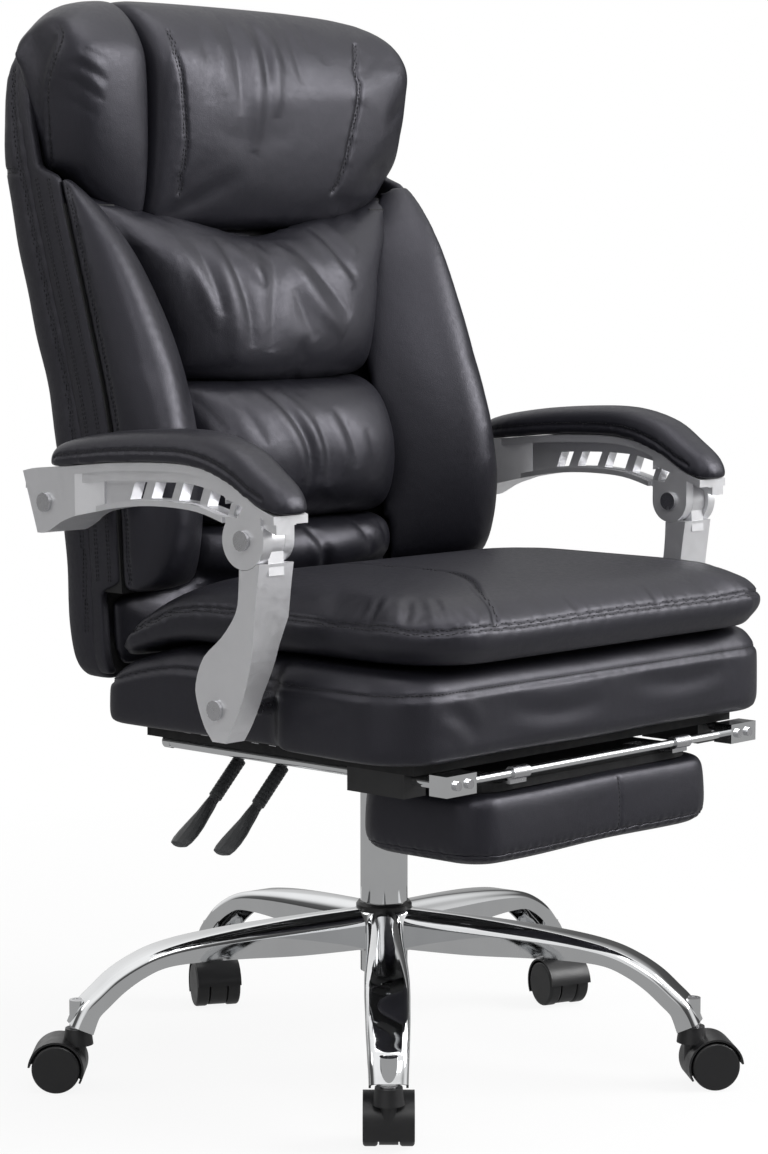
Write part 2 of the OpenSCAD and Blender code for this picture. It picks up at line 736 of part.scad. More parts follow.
module seat_cushion() {
    color(leather)
    loft([for (i = [0 : len(cushion_rise_share) - 1]) cushion_ring(i)]);
}

// Footrest rail guides under the seat board
guide_w = 30;
guide_len = 74;
guide_front = -252;
guide_drop = 17;
guide_low = rail_z - guide_drop;
module rail_guides() {
    color(black)
    for (side = [-1, 1])
        difference() {
            translate([side * rail_x - guide_w / 2, guide_front, guide_low])
            cube([guide_w, guide_len, board_z - guide_low]);
            y_rod(guide_front - cut, guide_front + guide_len + cut, side * rail_x, rail_z, rail_d + 2 * run_gap);
        }
}

// Back board and its curve
bend_from = 600;
bend_to = 740;
slope_low = tan(lean_low);
slope_up = tan(lean_up);
function board_y(z) = back_y + slope_low * (z - back_z)
    + (slope_up - slope_low) * (z < bend_from ? 0 : z < bend_to ? pow(z - bend_from, 2) / 2 / (bend_to - bend_from)
        : (z - bend_from) - (bend_to - bend_from) / 2);
board_steps = [0, 0.12, 0.255, 0.295, 0.335, 0.375, 0.415, 0.463, 0.6, 0.72, 0.825];
board_inset = 14;
board_line = [for (s = board_steps) let (z = back_z + board_inset / 2 + (back_h - board_inset) * s) [board_y(z), z]];
frame_low = 512;
frame_top = 905;
frame_in = 192;
frame_out = back_hw - board_inset / 3;
frame_line = [for (z = [frame_low : (frame_top - frame_low) / 12 : frame_top]) [board_y(z), z]];
module band(line, t) {
    polygon(concat(line, [for (p = backward(line)) [p[0] + t, p[1]]]));
}
module back_board() {
    color(wood)
    difference() {
        union() {
            side_plate(-back_hw + board_inset, back_hw - board_inset)
            band(board_line, board_t);
            for (side = [-1, 1])
                side_plate(side * (frame_in + frame_out) / 2 - (frame_out - frame_in) / 2,
                    side * (frame_in + frame_out) / 2 + (frame_out - frame_in) / 2)
                band(frame_line, -frame_depth);
        }
        for (side = [-1, 1])
            scale_side(side)
            x_rod(arm_bolt_in, arm_x, arm_bolt_y, arm_bolt_z, arm_bolt_d + 2 * run_gap);
        for (side = [-1, 1], z = bracket_bolt_z)
            bracket_hole(side, z, bolt_d + 2 * run_gap, -board_t);
    }
}
shell_rise_share = [0, 0.018, 0.05, 0.12, 0.19, 0.251, 0.30, 0.34, 0.37, 0.40, 0.452, 0.55, 0.65, 0.75, 0.83, 0.885,
    0.93, 0.962, 0.985, 1];
shell_width_share = [0.95, 0.985, 1, 1, 1, 1, 1, 1, 1, 1, 1, 1, 1, 0.995, 0.98, 0.955, 0.90, 0.825, 0.73, 0.61];
shell_depth_share = [0.80, 0.88, 0.92, 0.94, 0.95, 0.95, 0.96, 0.97, 0.98, 0.99, 1, 1, 0.98, 0.90, 0.76, 0.64, 0.52, 0.40,
    0.30, 0.2];
bar_x = 50;
bar_w = 40;
bar_t = 6;
bolt_head_h = 5;
module back_shell() {
    color(leather)
    difference() {
        loft([for (i = [0 : 19]) let (z = back_z + back_h * shell_rise_share[i])
            half_ring(0, back_hw * shell_width_share[i], board_y(z) + touch_gap, shell_depth * shell_depth_share[i], z, 16, 6)]);
        difference() {
            side_plate(-back_hw + board_inset - touch_gap, back_hw - board_inset + touch_gap)
            band([for (p = board_line) p - [cut, 0]], board_t + cut + touch_gap);
            translate([-back_hw, 0, back_z - cut])
            cube([2 * back_hw, cut, cut]);
        }
        for (side = [-1, 1])
            bracket_bar(side, touch_gap);
        for (side = [-1, 1], z = bracket_bolt_z)
            bracket_hole(side, z, bolt_d * 1.7 + 2 * touch_gap, 0);
    }
}

// Bracket between the mechanism and the back
barrel_d = 20;
bar_top = 590;
bracket_low = hinge_z - barrel_d / 2;
bend_r = 16;
bracket_rise_y = board_y(bracket_low + bend_r) + board_t + touch_gap;
bracket_lean = slope_low * (bar_top - bracket_low - bend_r);
function bar_bend(r, from, step) = [for (a = [from : step : -90 - from])
    [bracket_rise_y + bar_t - bend_r + r * cos(a), bracket_low + bend_r + r * sin(a)]];
module bracket_bar(side, grow) {
    x = side * (bar_x + bar_w / 2) - bar_w / 2 - grow;
    side_plate(x, x + bar_w + 2 * grow)
    polygon(concat([[hinge_y, bracket_low - grow]], bar_bend(bend_r + grow, -90, 15),
        [[bracket_rise_y + bar_t + grow + bracket_lean, bar_top + grow],
            [bracket_rise_y - grow + bracket_lean, bar_top + grow]],
        bar_bend(bend_r - bar_t - grow, 0, -15), [[hinge_y, bracket_low + bar_t + grow]]));
}
tooth_count = 12;
tooth_step = 5;
module back_bracket() {
    color(black)
    difference() {
        union() {
            x_rod(-ear_x + touch_gap, ear_x - touch_gap, hinge_y, hinge_z, barrel_d);
            for (side = [-1, 1])
                bracket_bar(side, 0);
            // Toothed sector for the pawl
            difference() {
                x_rod(-wall_x + plate_t + touch_gap, -wall_x + plate_t + pawl_t - touch_gap,
                    hinge_y, hinge_z, 2 * ratchet_r);
                for (k = [0 : tooth_count - 1])
                    translate([0, hinge_y, hinge_z])
                    rotate([tooth_step * (k + 0.5), 0, 0])
                    translate([-wall_x, -ratchet_r - pawl_gap, -pawl_gap / 2])
                    cube([pawl_t + 2 * plate_t, 2 * pawl_gap + pawl_gap, pawl_gap]);
            }
        }
        x_rod(-ear_x - cut, ear_x + cut, hinge_y, hinge_z, hinge_d + 2 * run_gap);
        for (side = [-1, 1], z = bracket_bolt_z)
            bracket_hole(side, z, bolt_d + 2 * run_gap, 0);
    }
}
bolt_d = 8;
bracket_bolt_z = [470, 560];
module bracket_hole(side, z, d, from) {
    translate([side * (bar_x + bar_w / 2), board_y(z) + from - cut, z])
    rotate([-90, 0, 0])
    cylinder(h = board_t + bar_t + bolt_head_h + 3 * cut - from, d = d);
}
module bracket_bolts() {
    color(bright)
    for (side = [-1, 1], z = bracket_bolt_z)
        translate([side * (bar_x + bar_w / 2), board_y(z) + cut, z])
        rotate([-90, 0, 0]) {
            cylinder(h = board_t + bar_t, d = bolt_d);
            translate([0, 0, board_t + bar_t])
            cylinder(h = bolt_head_h, d = bolt_d * 1.7);
        }
}

// Arm bolts at the back
arm_bolt_y = 137;
arm_bolt_z = 609;
arm_bolt_d = 9;
arm_bolt_in = 200;
arm_slack = 4.2;
arm_sleeve_d = 24;
arm_block_w = 54;
head_d = 19;
head_h = 3.5;
module arm_rear_bolts() {
    color(bright)
    for (side = [-1, 1])
        scale_side(side) {
            x_rod(arm_bolt_in + touch_gap, arm_x + 2 * touch_gap, arm_bolt_y, arm_bolt_z, arm_bolt_d);
            x_rod(back_hw + touch_gap, arm_x - arm_block_w - touch_gap, arm_bolt_y, arm_bolt_z, arm_sleeve_d);
            x_rod(arm_x + touch_gap, arm_x + touch_gap + head_h, arm_bolt_y, arm_bolt_z, head_d);
        }
}
module scale_side(side) {
    if (side > 0)
        children();
    else
        mirror([1, 0, 0])
        children();
}

// Padded forms of the back
bolster_rise = [512, 522, 545, 575, 610, 645, 680, 729, 782, 845, 880, 903, 922];
bolster_depth_share = [0.52, 0.72, 0.86, 0.95, 1, 1, 0.99, 0.95, 0.9, 0.79, 0.66, 0.52, 0.42];
bolster_in = [146, 142, 140, 139, 138, 137, 137, 137, 144, 164, 186, 210, 236];
bolster_mid_share = [0.94, 0.98, 1, 1, 1, 1, 1, 1, 1, 1, 1, 0.99, 0.98];
function bolster_ring(i) = let (z = bolster_rise[i], out = back_hw * bolster_mid_share[i], inn = bolster_in[i],
        y0 = board_y(z) - frame_depth - 2 * touch_gap, d = bolster_depth * bolster_depth_share[i] - frame_depth)
    half_ring((out + inn) / 2, (out - inn) / 2, y0, -max(d, 2), z, 12, 3.2);
module bolster(side) {
    rings = [for (i = [0 : 12]) bolster_ring(i)];
    color(leather)
    difference() {
        scale_side(side)
        loft(rings);
        scale_side(side)
        x_rod(0, arm_x, arm_bolt_y, arm_bolt_z, arm_bolt_d + 2 * touch_gap);
    }
}
module centre_pad(rise, half, depth, n) {
    color(leather)
    loft([for (i = [0 : len(rise) - 1])
        half_ring(0, half[i], board_y(rise[i]) - touch_gap, -depth[i], rise[i], n, 3)]);
}
pad_side_gap = 1;
upper_rise = [724, 730, 745, 775, 815, 855, 880, 908];
upper_half = [128, 134, 136, 141, 153, 168, 183, 190];
upper_depth = [26, 40, 58, 74, 82, 78, 68, 52];
lumbar_rise = [574, 582, 600, 630, 660, 690, 708, 718, 723];
lumbar_half = [128, 135, 137, 136, 136, 136, 135, 131, 124];
lumbar_depth = [44, 60, 76, 88, 90, 82, 68, 50, 34];
lower_rise = [432, 445, 480, 500, 509, 516, 530, 550, 564, 572];
lower_half = [226, 234, 236, 234, 200, 138, 138, 137, 134, 126];
lower_depth = [16, 23, 25, 26, 30, 44, 62, 68, 60, 42];
module upper_pad() {
    color(leather)
    difference() {
        centre_pad(upper_rise, upper_half, upper_depth, 20);
        // Hollow of the pillow's lower edge
        translate([0, back_y, 0])
        rotate([90, 0, 0])
        translate([0, 0, -bolster_depth])
        linear_extrude(2 * bolster_depth)
        polygon(concat([for (s = [-1 : 0.125 : 1]) [pillow_hw * s, pillow_edge(s) - 2 * touch_gap]],
            [[pillow_hw, pillow_top], [-pillow_hw, pillow_top]]));
    }
}
module lumbar_pad() {
    centre_pad(lumbar_rise, lumbar_half, lumbar_depth, 20);
}
module lower_pad() {
    centre_pad(lower_rise, lower_half, lower_depth, 20);
}
pillow_x_share = [-1, -0.985, -0.955, -0.90, -0.80, -0.66, -0.59, -0.545, -0.50, -0.42, -0.2, 0, 0.2, 0.42, 0.50, 0.545,
    0.59, 0.66, 0.80, 0.90, 0.955, 0.985, 1];
pillow_d_share = [0.34, 0.52, 0.72, 0.88, 0.95, 0.93, 0.86, 0.72, 0.86, 0.95, 1, 1, 1, 0.95, 0.86, 0.72, 0.86, 0.93, 0.95,
    0.88, 0.72, 0.52, 0.34];
pillow_hw = 266;
pillow_pinch = 0.09;
pillow_drop = 20;
pillow_tuck = 3;
pillow_low = 877;
pillow_rise = 63;
pillow_top = 1136;
pillow_round = 28;
function pillow_edge(s) = pillow_low + pillow_rise * pow(abs(s), 2.2);
function pillow_ring(i) = let (s = pillow_x_share[i], low = pillow_edge(s), top = pillow_top - pillow_round * pow(abs(s), 8),
        squeeze = abs(s) > 0.99 ? 0.84 : abs(s) > 0.97 ? 0.94 : 1, mid = (low + top) / 2, half = (top - low) / 2 * squeeze)
    [for (k = [0 : 14]) let (a = 180 * k / 14, out = pow(abs(sin(a)), 0.75), back = pow(1 - out, 2) * (1 + pillow_tuck * pow(s, 4)),
            z = mid + half * signed_power(cos(a), 0.75) - (cos(a) > 0 ? pillow_drop * back : 0))
        [pillow_hw * s * (1 - pillow_pinch * (1 - out) * s * s),
            board_y(z) - touch_gap - pillow_depth * pillow_d_share[i] * out, z]];
module headrest() {
    color(leather)
    loft([for (i = [0 : len(pillow_x_share) - 1]) pillow_ring(i)]);
}

// Arms, drawn for the sitter's left side and mirrored for the right
arm_len = arm_rear - arm_front;
function arm_point(s) = [arm_rear - arm_len * s[0], arm_low + arm_h * s[1]];
arm_top_share = [[0, 0.79], [0.06, 0.84], [0.18, 0.88], [0.36, 0.96], [0.53, 1], [0.66, 1], [0.76, 0.93],
    [0.85, 0.78], [0.93, 0.57], [1, 0.45]];
arm_under_share = [[0.06, 0], [0.1, 0.02], [0.18, 0.2], [0.29, 0.33], [0.42, 0.42], [0.55, 0.45], [0.68, 0.42], [0.78, 0.31]];
arm_top_line = curve([for (s = arm_top_share) arm_point(s)], 4);
arm_under_line = curve([for (s = arm_under_share) arm_point(s)], 4);
function arm_top(y) = lookup(y, backward(arm_top_line));
lip_t = 9;
flange_t = 8;
rim_t = 7;
rim_w = 26;
web_w_arm = 14;
ear_w = 12;
inner_ear_d = 46;
tongue_gap = 0.4;
window_from_share = [0.40, 0.485, 0.595, 0.705, 0.805];
window_to_share = [0.45, 0.565, 0.675, 0.785, 0.865];
window_lean = 7;
module arm_side() {
    polygon(concat(arm_top_line, [[arm_front, arm_low + arm_h * 0.45 - lip_t],
        [knuckle_y - knuckle_d * 0.3, knuckle_z + knuckle_d * 0.28], [knuckle_y, knuckle_z]], backward(arm_under_line)));
}
function under_y(y) = lookup(y, backward(arm_under_line));
module window(k) {
    y0 = arm_rear - arm_len * window_from_share[k];
    y1 = arm_rear - arm_len * window_to_share[k];
    high0 = arm_top(y0) - flange_t * 2.4;
    high1 = arm_top(y1) - flange_t * (k == 4 ? 2 : 2.4);
    low0 = min(under_y(y0) + rim_t, high0 - 1.5 * run_gap * wheel_d);
    low1 = under_y(y1) + rim_t;
    polygon([[y0, low0], [y1, low1], [y1 - window_lean, high1], [y0 - window_lean, high0]]);
}
module arm_ends_cut(x0, x1) {
    side_plate(x0, x1)
    union() {
        translate([arm_rear - arm_len * 0.24, arm_low - cut])
        square([arm_len * 0.3, arm_h + 2 * cut]);
    }
}
module arm_frame() {
    mid = arm_x - arm_w / 2;
    inner = arm_x - arm_w;
    difference() {
        union() {
            // Web with the windows
            side_plate(mid - web_w_arm / 2, mid + web_w_arm / 2)
            arm_side();
            // Flange under the pad
            side_plate(inner, arm_x)
            intersection() {
                arm_side();
                polygon(concat(arm_top_line, [for (p = backward(arm_top_line)) p - [0, flange_t]]));
            }
            // Outer face above the windows
            side_plate(mid, arm_x - rim_t / 2)
            polygon(concat(arm_top_line, [for (p = backward(arm_top_line)) p - [0, flange_t * 2.2]]));
            // Lower rim
            side_plate(mid - rim_w / 2, mid + rim_w / 2)
            polygon(concat(arm_under_line, [for (p = backward(arm_under_line)) p + [0, rim_t * 0.8]]));
            // Rear block
            intersection() {
                side_plate(arm_x - arm_block_w, arm_x)
                arm_side();
                translate([arm_x - arm_block_w, arm_rear - arm_len * 0.30, arm_low])
                linear_extrude(arm_h)
                polygon([[0, arm_len * 0.15], [0, arm_len * 0.3], [arm_block_w, arm_len * 0.3], [arm_block_w, arm_len * 0.08],
                    [arm_block_w * 0.75, 0], [arm_block_w * 0.45, 0]]);
            }
            // Knuckle ears and the cheek above them
            x_rod(arm_x - ear_w, arm_x, knuckle_y, knuckle_z, knuckle_d);
            x_rod(inner, inner + ear_w, knuckle_y, knuckle_z, inner_ear_d);
            for (x = [inner, arm_x - ear_w])
                side_plate(x, x + ear_w)
                polygon([[knuckle_y - inner_ear_d / 2, knuckle_z], [knuckle_y + inner_ear_d / 2, knuckle_z],
                    [knuckle_y + inner_ear_d / 2, arm_top(knuckle_y + inner_ear_d / 2) - flange_t / 2],
                    [knuckle_y, arm_top(knuckle_y) - flange_t / 2],
                    [knuckle_y - inner_ear_d / 2, arm_top(knuckle_y - inner_ear_d / 2) - flange_t / 2]]);
        }
        // Fork round the barrel of the post
        side_plate(inner + ear_w, arm_x - ear_w)
        union() {
            translate([knuckle_y, knuckle_z])
            circle(d = inner_ear_d + 2 * tongue_gap);
            translate([knuckle_y - inner_ear_d, knuckle_z - knuckle_d])
            square([2 * inner_ear_d, knuckle_d]);
        }
        for (k = [0 : 4])
            side_plate(inner - cut, arm_x + cut)
            window(k);
        x_rod(inner - cut, arm_x + cut, knuckle_y, knuckle_z, knuckle_bolt_d + 2 * run_gap);
        x_rod(arm_x - arm_block_w - cut, arm_x + cut, arm_bolt_y, arm_bolt_z, arm_bolt_d + 2 * arm_slack);
    }
}
knuckle_bolt_d = 10;
module arm_frame_side(side) {
    color(silver)
    scale_side(side)
    arm_frame();
}
module knuckle_bolt(side) {
    color(bright)
    scale_side(side) {
        x_rod(arm_x - arm_w - touch_gap, arm_x + touch_gap, knuckle_y, knuckle_z, knuckle_bolt_d);
        x_rod(arm_x + touch_gap, arm_x + touch_gap + head_h, knuckle_y, knuckle_z, head_d);
        x_rod(arm_x - arm_w - touch_gap - head_h, arm_x - arm_w - touch_gap, knuckle_y, knuckle_z, head_d);
    }
}
pad_s_share = [0, 0.01, 0.04, 0.1, 0.18, 0.28, 0.42, 0.58, 0.74, 0.88, 0.96, 0.99, 1];
pad_w_share = [0.3, 0.56, 0.8, 0.94, 1, 1, 0.98, 0.97, 0.97, 0.95, 0.85, 0.66, 0.4];
pad_t_share = [0.25, 0.5, 0.8, 1, 1.08, 1.04, 1, 0.97, 0.93, 0.86, 0.72, 0.5, 0.28];
pad_front = arm_front - 3;
pad_rear = 136;
pad_stations = concat([pad_front], [for (p = backward(arm_top_line)) if (p[0] < pad_rear) p[0]], [pad_rear]);
function pad_share(shares, y) = let (t = (y - pad_front) / (pad_rear - pad_front))
    lookup(t, [for (i = [0 : len(pad_s_share) - 1]) [pad_s_share[i], shares[i]]]);
module arm_pad(side) {
    color(leather)
    scale_side(side)
    loft([for (y = pad_stations)
        [for (k = [0 : 12]) let (a = 180 * k / 12 - 90)
            [arm_x - arm_w / 2 + pad_w * pad_share(pad_w_share, y) / 2 * signed_power(sin(a), 0.7), y,
                arm_top(y) + touch_gap + pad_h * pad_share(pad_t_share, y) * pow(abs(cos(a)), 0.62)]]]);
}

// Arm posts
post_front_share = [[-17, 0], [-16, -0.24], [-12, -0.48], [-7, -0.66], [4, -0.86], [18, -1], [30, -1.13]];
post_drop = knuckle_z - foot_z;
post_front_line = curve([for (s = [[-22, -0.13], [-18, -0.30], [-14, -0.5], [-10, -0.7], [0, -0.9], [14, -1.08], [26, -1.19]])
    [knuckle_y + s[0] * knuckle_d / 55, knuckle_z + s[1] * post_drop]], 3);
post_rear_line = curve([for (s = [[44, -1.19], [54, -1.1], [63, -0.97], [65, -0.86], [54, -0.7], [29, -0.57], [10, -0.42],
    [6, -0.28], [5, -0.13]])
    [knuckle_y + s[0] * knuckle_d / 55, knuckle_z + s[1] * post_drop]], 3);
foot_w = 26;
spacer_d = 24;
module arm_post(side) {
    inner = arm_x - arm_w;
    color(silver)
    scale_side(side)
    difference() {
        union() {
            intersection() {
                side_plate(inner, arm_x)
                polygon(concat(post_front_line, post_rear_line));
                // Front view of the post, narrower at its foot
                translate([0, knuckle_y + 2 * knuckle_d, 0])
                rotate([90, 0, 0])
                linear_extrude(4 * knuckle_d)
                polygon([[arm_x, knuckle_z], [inner, knuckle_z], [inner, knuckle_z - post_drop * 0.45],
                    [arm_x - arm_w * 0.78, knuckle_z - post_drop * 0.62], [arm_x - foot_w, foot_z + post_drop * 0.1],
                    [arm_x - foot_w, foot_z - post_drop * 0.25], [arm_x - 3, foot_z - post_drop * 0.25],
                    [arm_x, foot_z - post_drop * 0.12]]);
            }
            x_rod(inner + ear_w + tongue_gap, arm_x - ear_w - tongue_gap, knuckle_y, knuckle_z, inner_ear_d);
            side_plate(inner + ear_w + tongue_gap, arm_x - ear_w - tongue_gap)
            polygon([[knuckle_y - 20 * knuckle_d / 55, knuckle_z], [knuckle_y - 22 * knuckle_d / 55, knuckle_z - post_drop * 0.2],
                [knuckle_y + 5 * knuckle_d / 55, knuckle_z - post_drop * 0.2], [knuckle_y + 5 * knuckle_d / 55, knuckle_z]]);
        }
        // Shoulders clear the ears of the arm
        x_rod(arm_x - ear_w - tongue_gap, arm_x + cut, knuckle_y, knuckle_z, knuckle_d + 2 * tongue_gap);
        x_rod(inner - cut, inner + ear_w + tongue_gap, knuckle_y, knuckle_z, inner_ear_d + 2 * tongue_gap);
        x_rod(inner - cut, arm_x + cut, knuckle_y, knuckle_z, knuckle_bolt_d);
        x_rod(inner - cut, arm_x + cut, foot_y, foot_z, knuckle_bolt_d + 2 * run_gap);
    }
}
module post_bolts() {
    color(bright)
    for (side = [-1, 1])
        scale_side(side) {
            x_rod(seat_side_hw + 2 * touch_gap, arm_x + touch_gap, foot_y, foot_z, knuckle_bolt_d);
            x_rod(seat_side_hw + touch_gap, arm_x - foot_w - touch_gap, foot_y, foot_z, spacer_d);
            x_rod(arm_x + touch_gap, arm_x + touch_gap + head_h, foot_y, foot_z, head_d);
        }
}

// Footrest
clamp_x = 42;
clamp_y = 22;
clamp_z = 20;
clamp_out = 14;
stop_rise = 0.7;
stop_d = rail_d + 2 * stop_rise;
stop_len = 10;
module footrest_rails() {
    color(bright)
    for (side = [-1, 1]) {
        y_rod(bar_y, rail_rear, side * rail_x, rail_z, rail_d);
        y_rod(rail_rear - stop_len, rail_rear, side * rail_x, rail_z, stop_d);
    }
}
module rail_clamps() {
    color(bright)
    for (side = [-1, 1])
        scale_side(side)
        difference() {
            translate([rail_x - clamp_x + clamp_out, bar_y - clamp_y / 2, rail_z - clamp_z / 2])
            cube([clamp_x, clamp_y, clamp_z]);
            y_rod(bar_y, bar_y + clamp_y, rail_x, rail_z, rail_d);
            x_rod(rail_x - clamp_x, rail_x - rail_d / 2 - touch_gap, bar_y, rail_z, bar_d);
        }
}
clamp_screw_d = 9;
module clamp_screws() {
    color(steel)
    for (side = [-1, 1])
        scale_side(side)
        for (x = [rail_x, rail_x - clamp_x * 0.4])
            y_rod(bar_y - clamp_y / 2 - pin_head_h, bar_y - clamp_y / 2, x, rail_z, clamp_screw_d);
}
module crossbar() {
    color(bright)
    x_rod(-rail_x + rail_d / 2 + touch_gap, rail_x - rail_d / 2 - touch_gap, bar_y, rail_z, bar_d);
}
hinge_eye_d = 13;
hinge_w = 24;
hinge_x_share = [-0.7, 0.7];
foot_board_t = 8;
foot_top = 350;
foot_front = bar_y + 4;
module footrest_hinges() {
    color(steel)
    for (s = hinge_x_share)
        difference() {
            union() {
                x_rod(s * foot_hw - hinge_w / 2, s * foot_hw + hinge_w / 2, bar_y, rail_z, hinge_eye_d);
                translate([s * foot_hw - hinge_w / 2, bar_y, foot_top + touch_gap])
                cube([hinge_w, foot_depth * 0.4, plate_t]);
                translate([s * foot_hw - hinge_w / 2, bar_y, foot_top + touch_gap])
                cube([hinge_w, plate_t, rail_z - foot_top - touch_gap]);
            }
            x_rod(s * foot_hw - hinge_w, s * foot_hw + hinge_w, bar_y, rail_z, bar_d + 2 * run_gap);
        }
}
foot_r_front = 42;
foot_r_rear = 58;
function foot_ring(inset, z) = lifted(plan_ring(foot_hw - inset, foot_front + inset, foot_front + foot_depth - inset,
    foot_r_front - inset * 0.6, foot_r_rear - inset * 0.6, 4), z);
module footrest_board() {
    color(wood)
    translate([0, 0, foot_top - foot_board_t])
    linear_extrude(foot_board_t)
    polygon([for (p = foot_ring(foot_board_t, 0)) [p[0], p[1]]]);
}
foot_rise_share = [1, 0.985, 0.955, 0.90, 0.82, 0.70, 0.40, 0.12, 0];
foot_inset = 60;
foot_inset_share = [0.9, 0.62, 0.34, 0.14, 0.045, 0, 0, 0.03, 0.12];
module footrest_pad() {
    color(leather)
    loft([for (i = [0 : 8]) foot_ring(foot_inset * foot_inset_share[i],
        foot_top - foot_board_t - touch_gap - (foot_pad_h - foot_board_t) * foot_rise_share[i])]);
}

star_base();
caster_stems();
column_tube();
column_ring();
column_bush();
thrust_bearing();
caster_hood(0);  // caster_hood_1
caster_hood(1);  // caster_hood_2
caster_hood(2);  // caster_hood_3
caster_hood(3);  // caster_hood_4
caster_hood(4);  // caster_hood_5
caster_wheels(0);  // caster_wheels_1
caster_wheels(1);  // caster_wheels_2
caster_wheels(2);  // caster_wheels_3
caster_wheels(3);  // caster_wheels_4
caster_wheels(4);  // caster_wheels_5
piston_rod();
gas_cylinder();
valve_button();
mechanism_housing();
mechanism_pins();
mechanism_screws();
seat_board();
seat_base();
seat_cushion();
rail_guides();
post_bolts();
height_lever_rod();
lever_sleeve(height_y);  // height_lever_sleeve
lever_grip(height_y);  // height_lever_grip
recline_lever_rod();
lever_sleeve(recline_y);  // recline_lever_sleeve
lever_grip(recline_y);  // recline_lever_grip
back_bracket();
bracket_bolts();
back_board();
back_shell();
arm_rear_bolts();
bolster(-1);  // bolster_right
bolster(1);  // bolster_left
upper_pad();
lumbar_pad();
lower_pad();
headrest();
arm_post(-1);  // arm_post_right
arm_post(1);  // arm_post_left
knuckle_bolt(-1);  // knuckle_bolt_right
knuckle_bolt(1);  // knuckle_bolt_left
arm_frame_side(-1);  // arm_frame_right
arm_frame_side(1);  // arm_frame_left
arm_pad(-1);  // arm_pad_right
arm_pad(1);  // arm_pad_left
footrest_rails();
rail_clamps();
clamp_screws();
crossbar();
footrest_hinges();
footrest_board();
footrest_pad();
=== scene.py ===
import math

import bmesh
import bpy
import numpy as np
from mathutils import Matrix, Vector
from mathutils.bvhtree import BVHTree


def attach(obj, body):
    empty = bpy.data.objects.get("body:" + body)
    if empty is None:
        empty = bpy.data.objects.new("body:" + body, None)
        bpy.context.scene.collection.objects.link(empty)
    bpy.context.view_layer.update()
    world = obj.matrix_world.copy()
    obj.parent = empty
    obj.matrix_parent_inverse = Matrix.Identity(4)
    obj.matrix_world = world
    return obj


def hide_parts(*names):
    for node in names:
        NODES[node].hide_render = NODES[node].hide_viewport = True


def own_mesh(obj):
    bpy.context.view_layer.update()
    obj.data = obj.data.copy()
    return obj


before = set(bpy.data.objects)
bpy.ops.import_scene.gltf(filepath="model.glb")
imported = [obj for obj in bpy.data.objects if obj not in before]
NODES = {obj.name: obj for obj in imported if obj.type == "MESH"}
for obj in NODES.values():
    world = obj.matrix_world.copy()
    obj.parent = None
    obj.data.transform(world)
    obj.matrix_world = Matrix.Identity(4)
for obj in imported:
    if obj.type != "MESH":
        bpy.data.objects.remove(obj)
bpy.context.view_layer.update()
MM = 0.001  # shapes are written in millimetres and made in metres

# The camera, solved from the photograph
CAMERA_PLACE = (-2.3064, -2.1598, 0.8471)
CAMERA_TILT, CAMERA_TURN = 90 - 6.02, -46.88  # degrees
CAMERA_LENS, CAMERA_SENSOR, CAMERA_SHIFT = 94.64, 36, 0.0032
CAMERA_CLIP = (0.1, 50)

WHITE = (1, 1, 1, 1)
AMBIENT = 0.4
PANELS, PANEL_TURN = 3.0, 0.6  # the light panels that gloss shows on the walls, and where they start
FLOOR_HALF, FLOOR_DROP, FLOOR_GREY = 14, 0.0005, 0.93
FLOOR_GLOW = 0.90  # how bright the camera sees it near the object
FLOOR_GLOSS = 0.35  # and in reflections
LAMPS = [  # name, place, aim, size, watts
    ("key", (-1.6, -2.9, 3.1), (0, 0, 0.6), 1.5, 26),
    ("top", (0.2, -0.4, 3.4), (0, 0, 0.6), 2.0, 26),
    ("panel", (2.0, -2.4, 2.3), (0, 0, 0.75), 2.0, 112),
    ("rim", (-2.4, 1.8, 1.9), (0, 0.1, 0.8), 1.2, 9),
]


# Camera, light and stage

def make_camera():
    cam = bpy.data.cameras.new("camera")
    cam.sensor_width = CAMERA_SENSOR
    cam.lens = CAMERA_LENS
    cam.shift_y = CAMERA_SHIFT
    cam.clip_start, cam.clip_end = CAMERA_CLIP
    ob = bpy.data.objects.new("camera", cam)
    bpy.context.scene.collection.objects.link(ob)
    ob.location = CAMERA_PLACE
    ob.rotation_euler = (math.radians(CAMERA_TILT), 0, math.radians(CAMERA_TURN))
    bpy.context.scene.camera = ob
    bpy.context.scene.view_settings.view_transform = "Standard"


def area_light(name, place, aim, size, power):
    light = bpy.data.lights.new(name, "AREA")
    light.shape = "RECTANGLE"
    light.size = light.size_y = size
    light.energy = power
    ob = bpy.data.objects.new(name, light)
    bpy.context.scene.collection.objects.link(ob)
    ob.location = place
    ob.rotation_euler = (Vector(aim) - Vector(place)).to_track_quat("-Z", "Y").to_euler()


def math_node(tree, operation, first, second=None):
    n = tree.nodes.new("ShaderNodeMath")
    n.operation = operation
    for socket, value in zip(n.inputs, (first, second)):
        if isinstance(value, (int, float)):
            socket.default_value = value
        elif value is not None:
            tree.links.new(value, socket)
    return n.outputs[0]


def any_ray(tree, *kinds):
    """1 where the ray is one of the kinds named, such as Is Camera Ray."""
    path = tree.nodes.new("ShaderNodeLightPath")
    total = path.outputs[kinds[0]]
    for kind in kinds[1:]:
        total = math_node(tree, "MAXIMUM", total, path.outputs[kind])
    return total


def glowing(tree, kind, strength, color=None):
    """A Background or Emission shader, white or of the colour linked in."""
    n = tree.nodes.new("ShaderNode" + kind)
    n.inputs["Color"].default_value = WHITE
    n.inputs["Strength"].default_value = strength
    if color is not None:
        tree.links.new(color, n.inputs["Color"])
    return n.outputs[0]


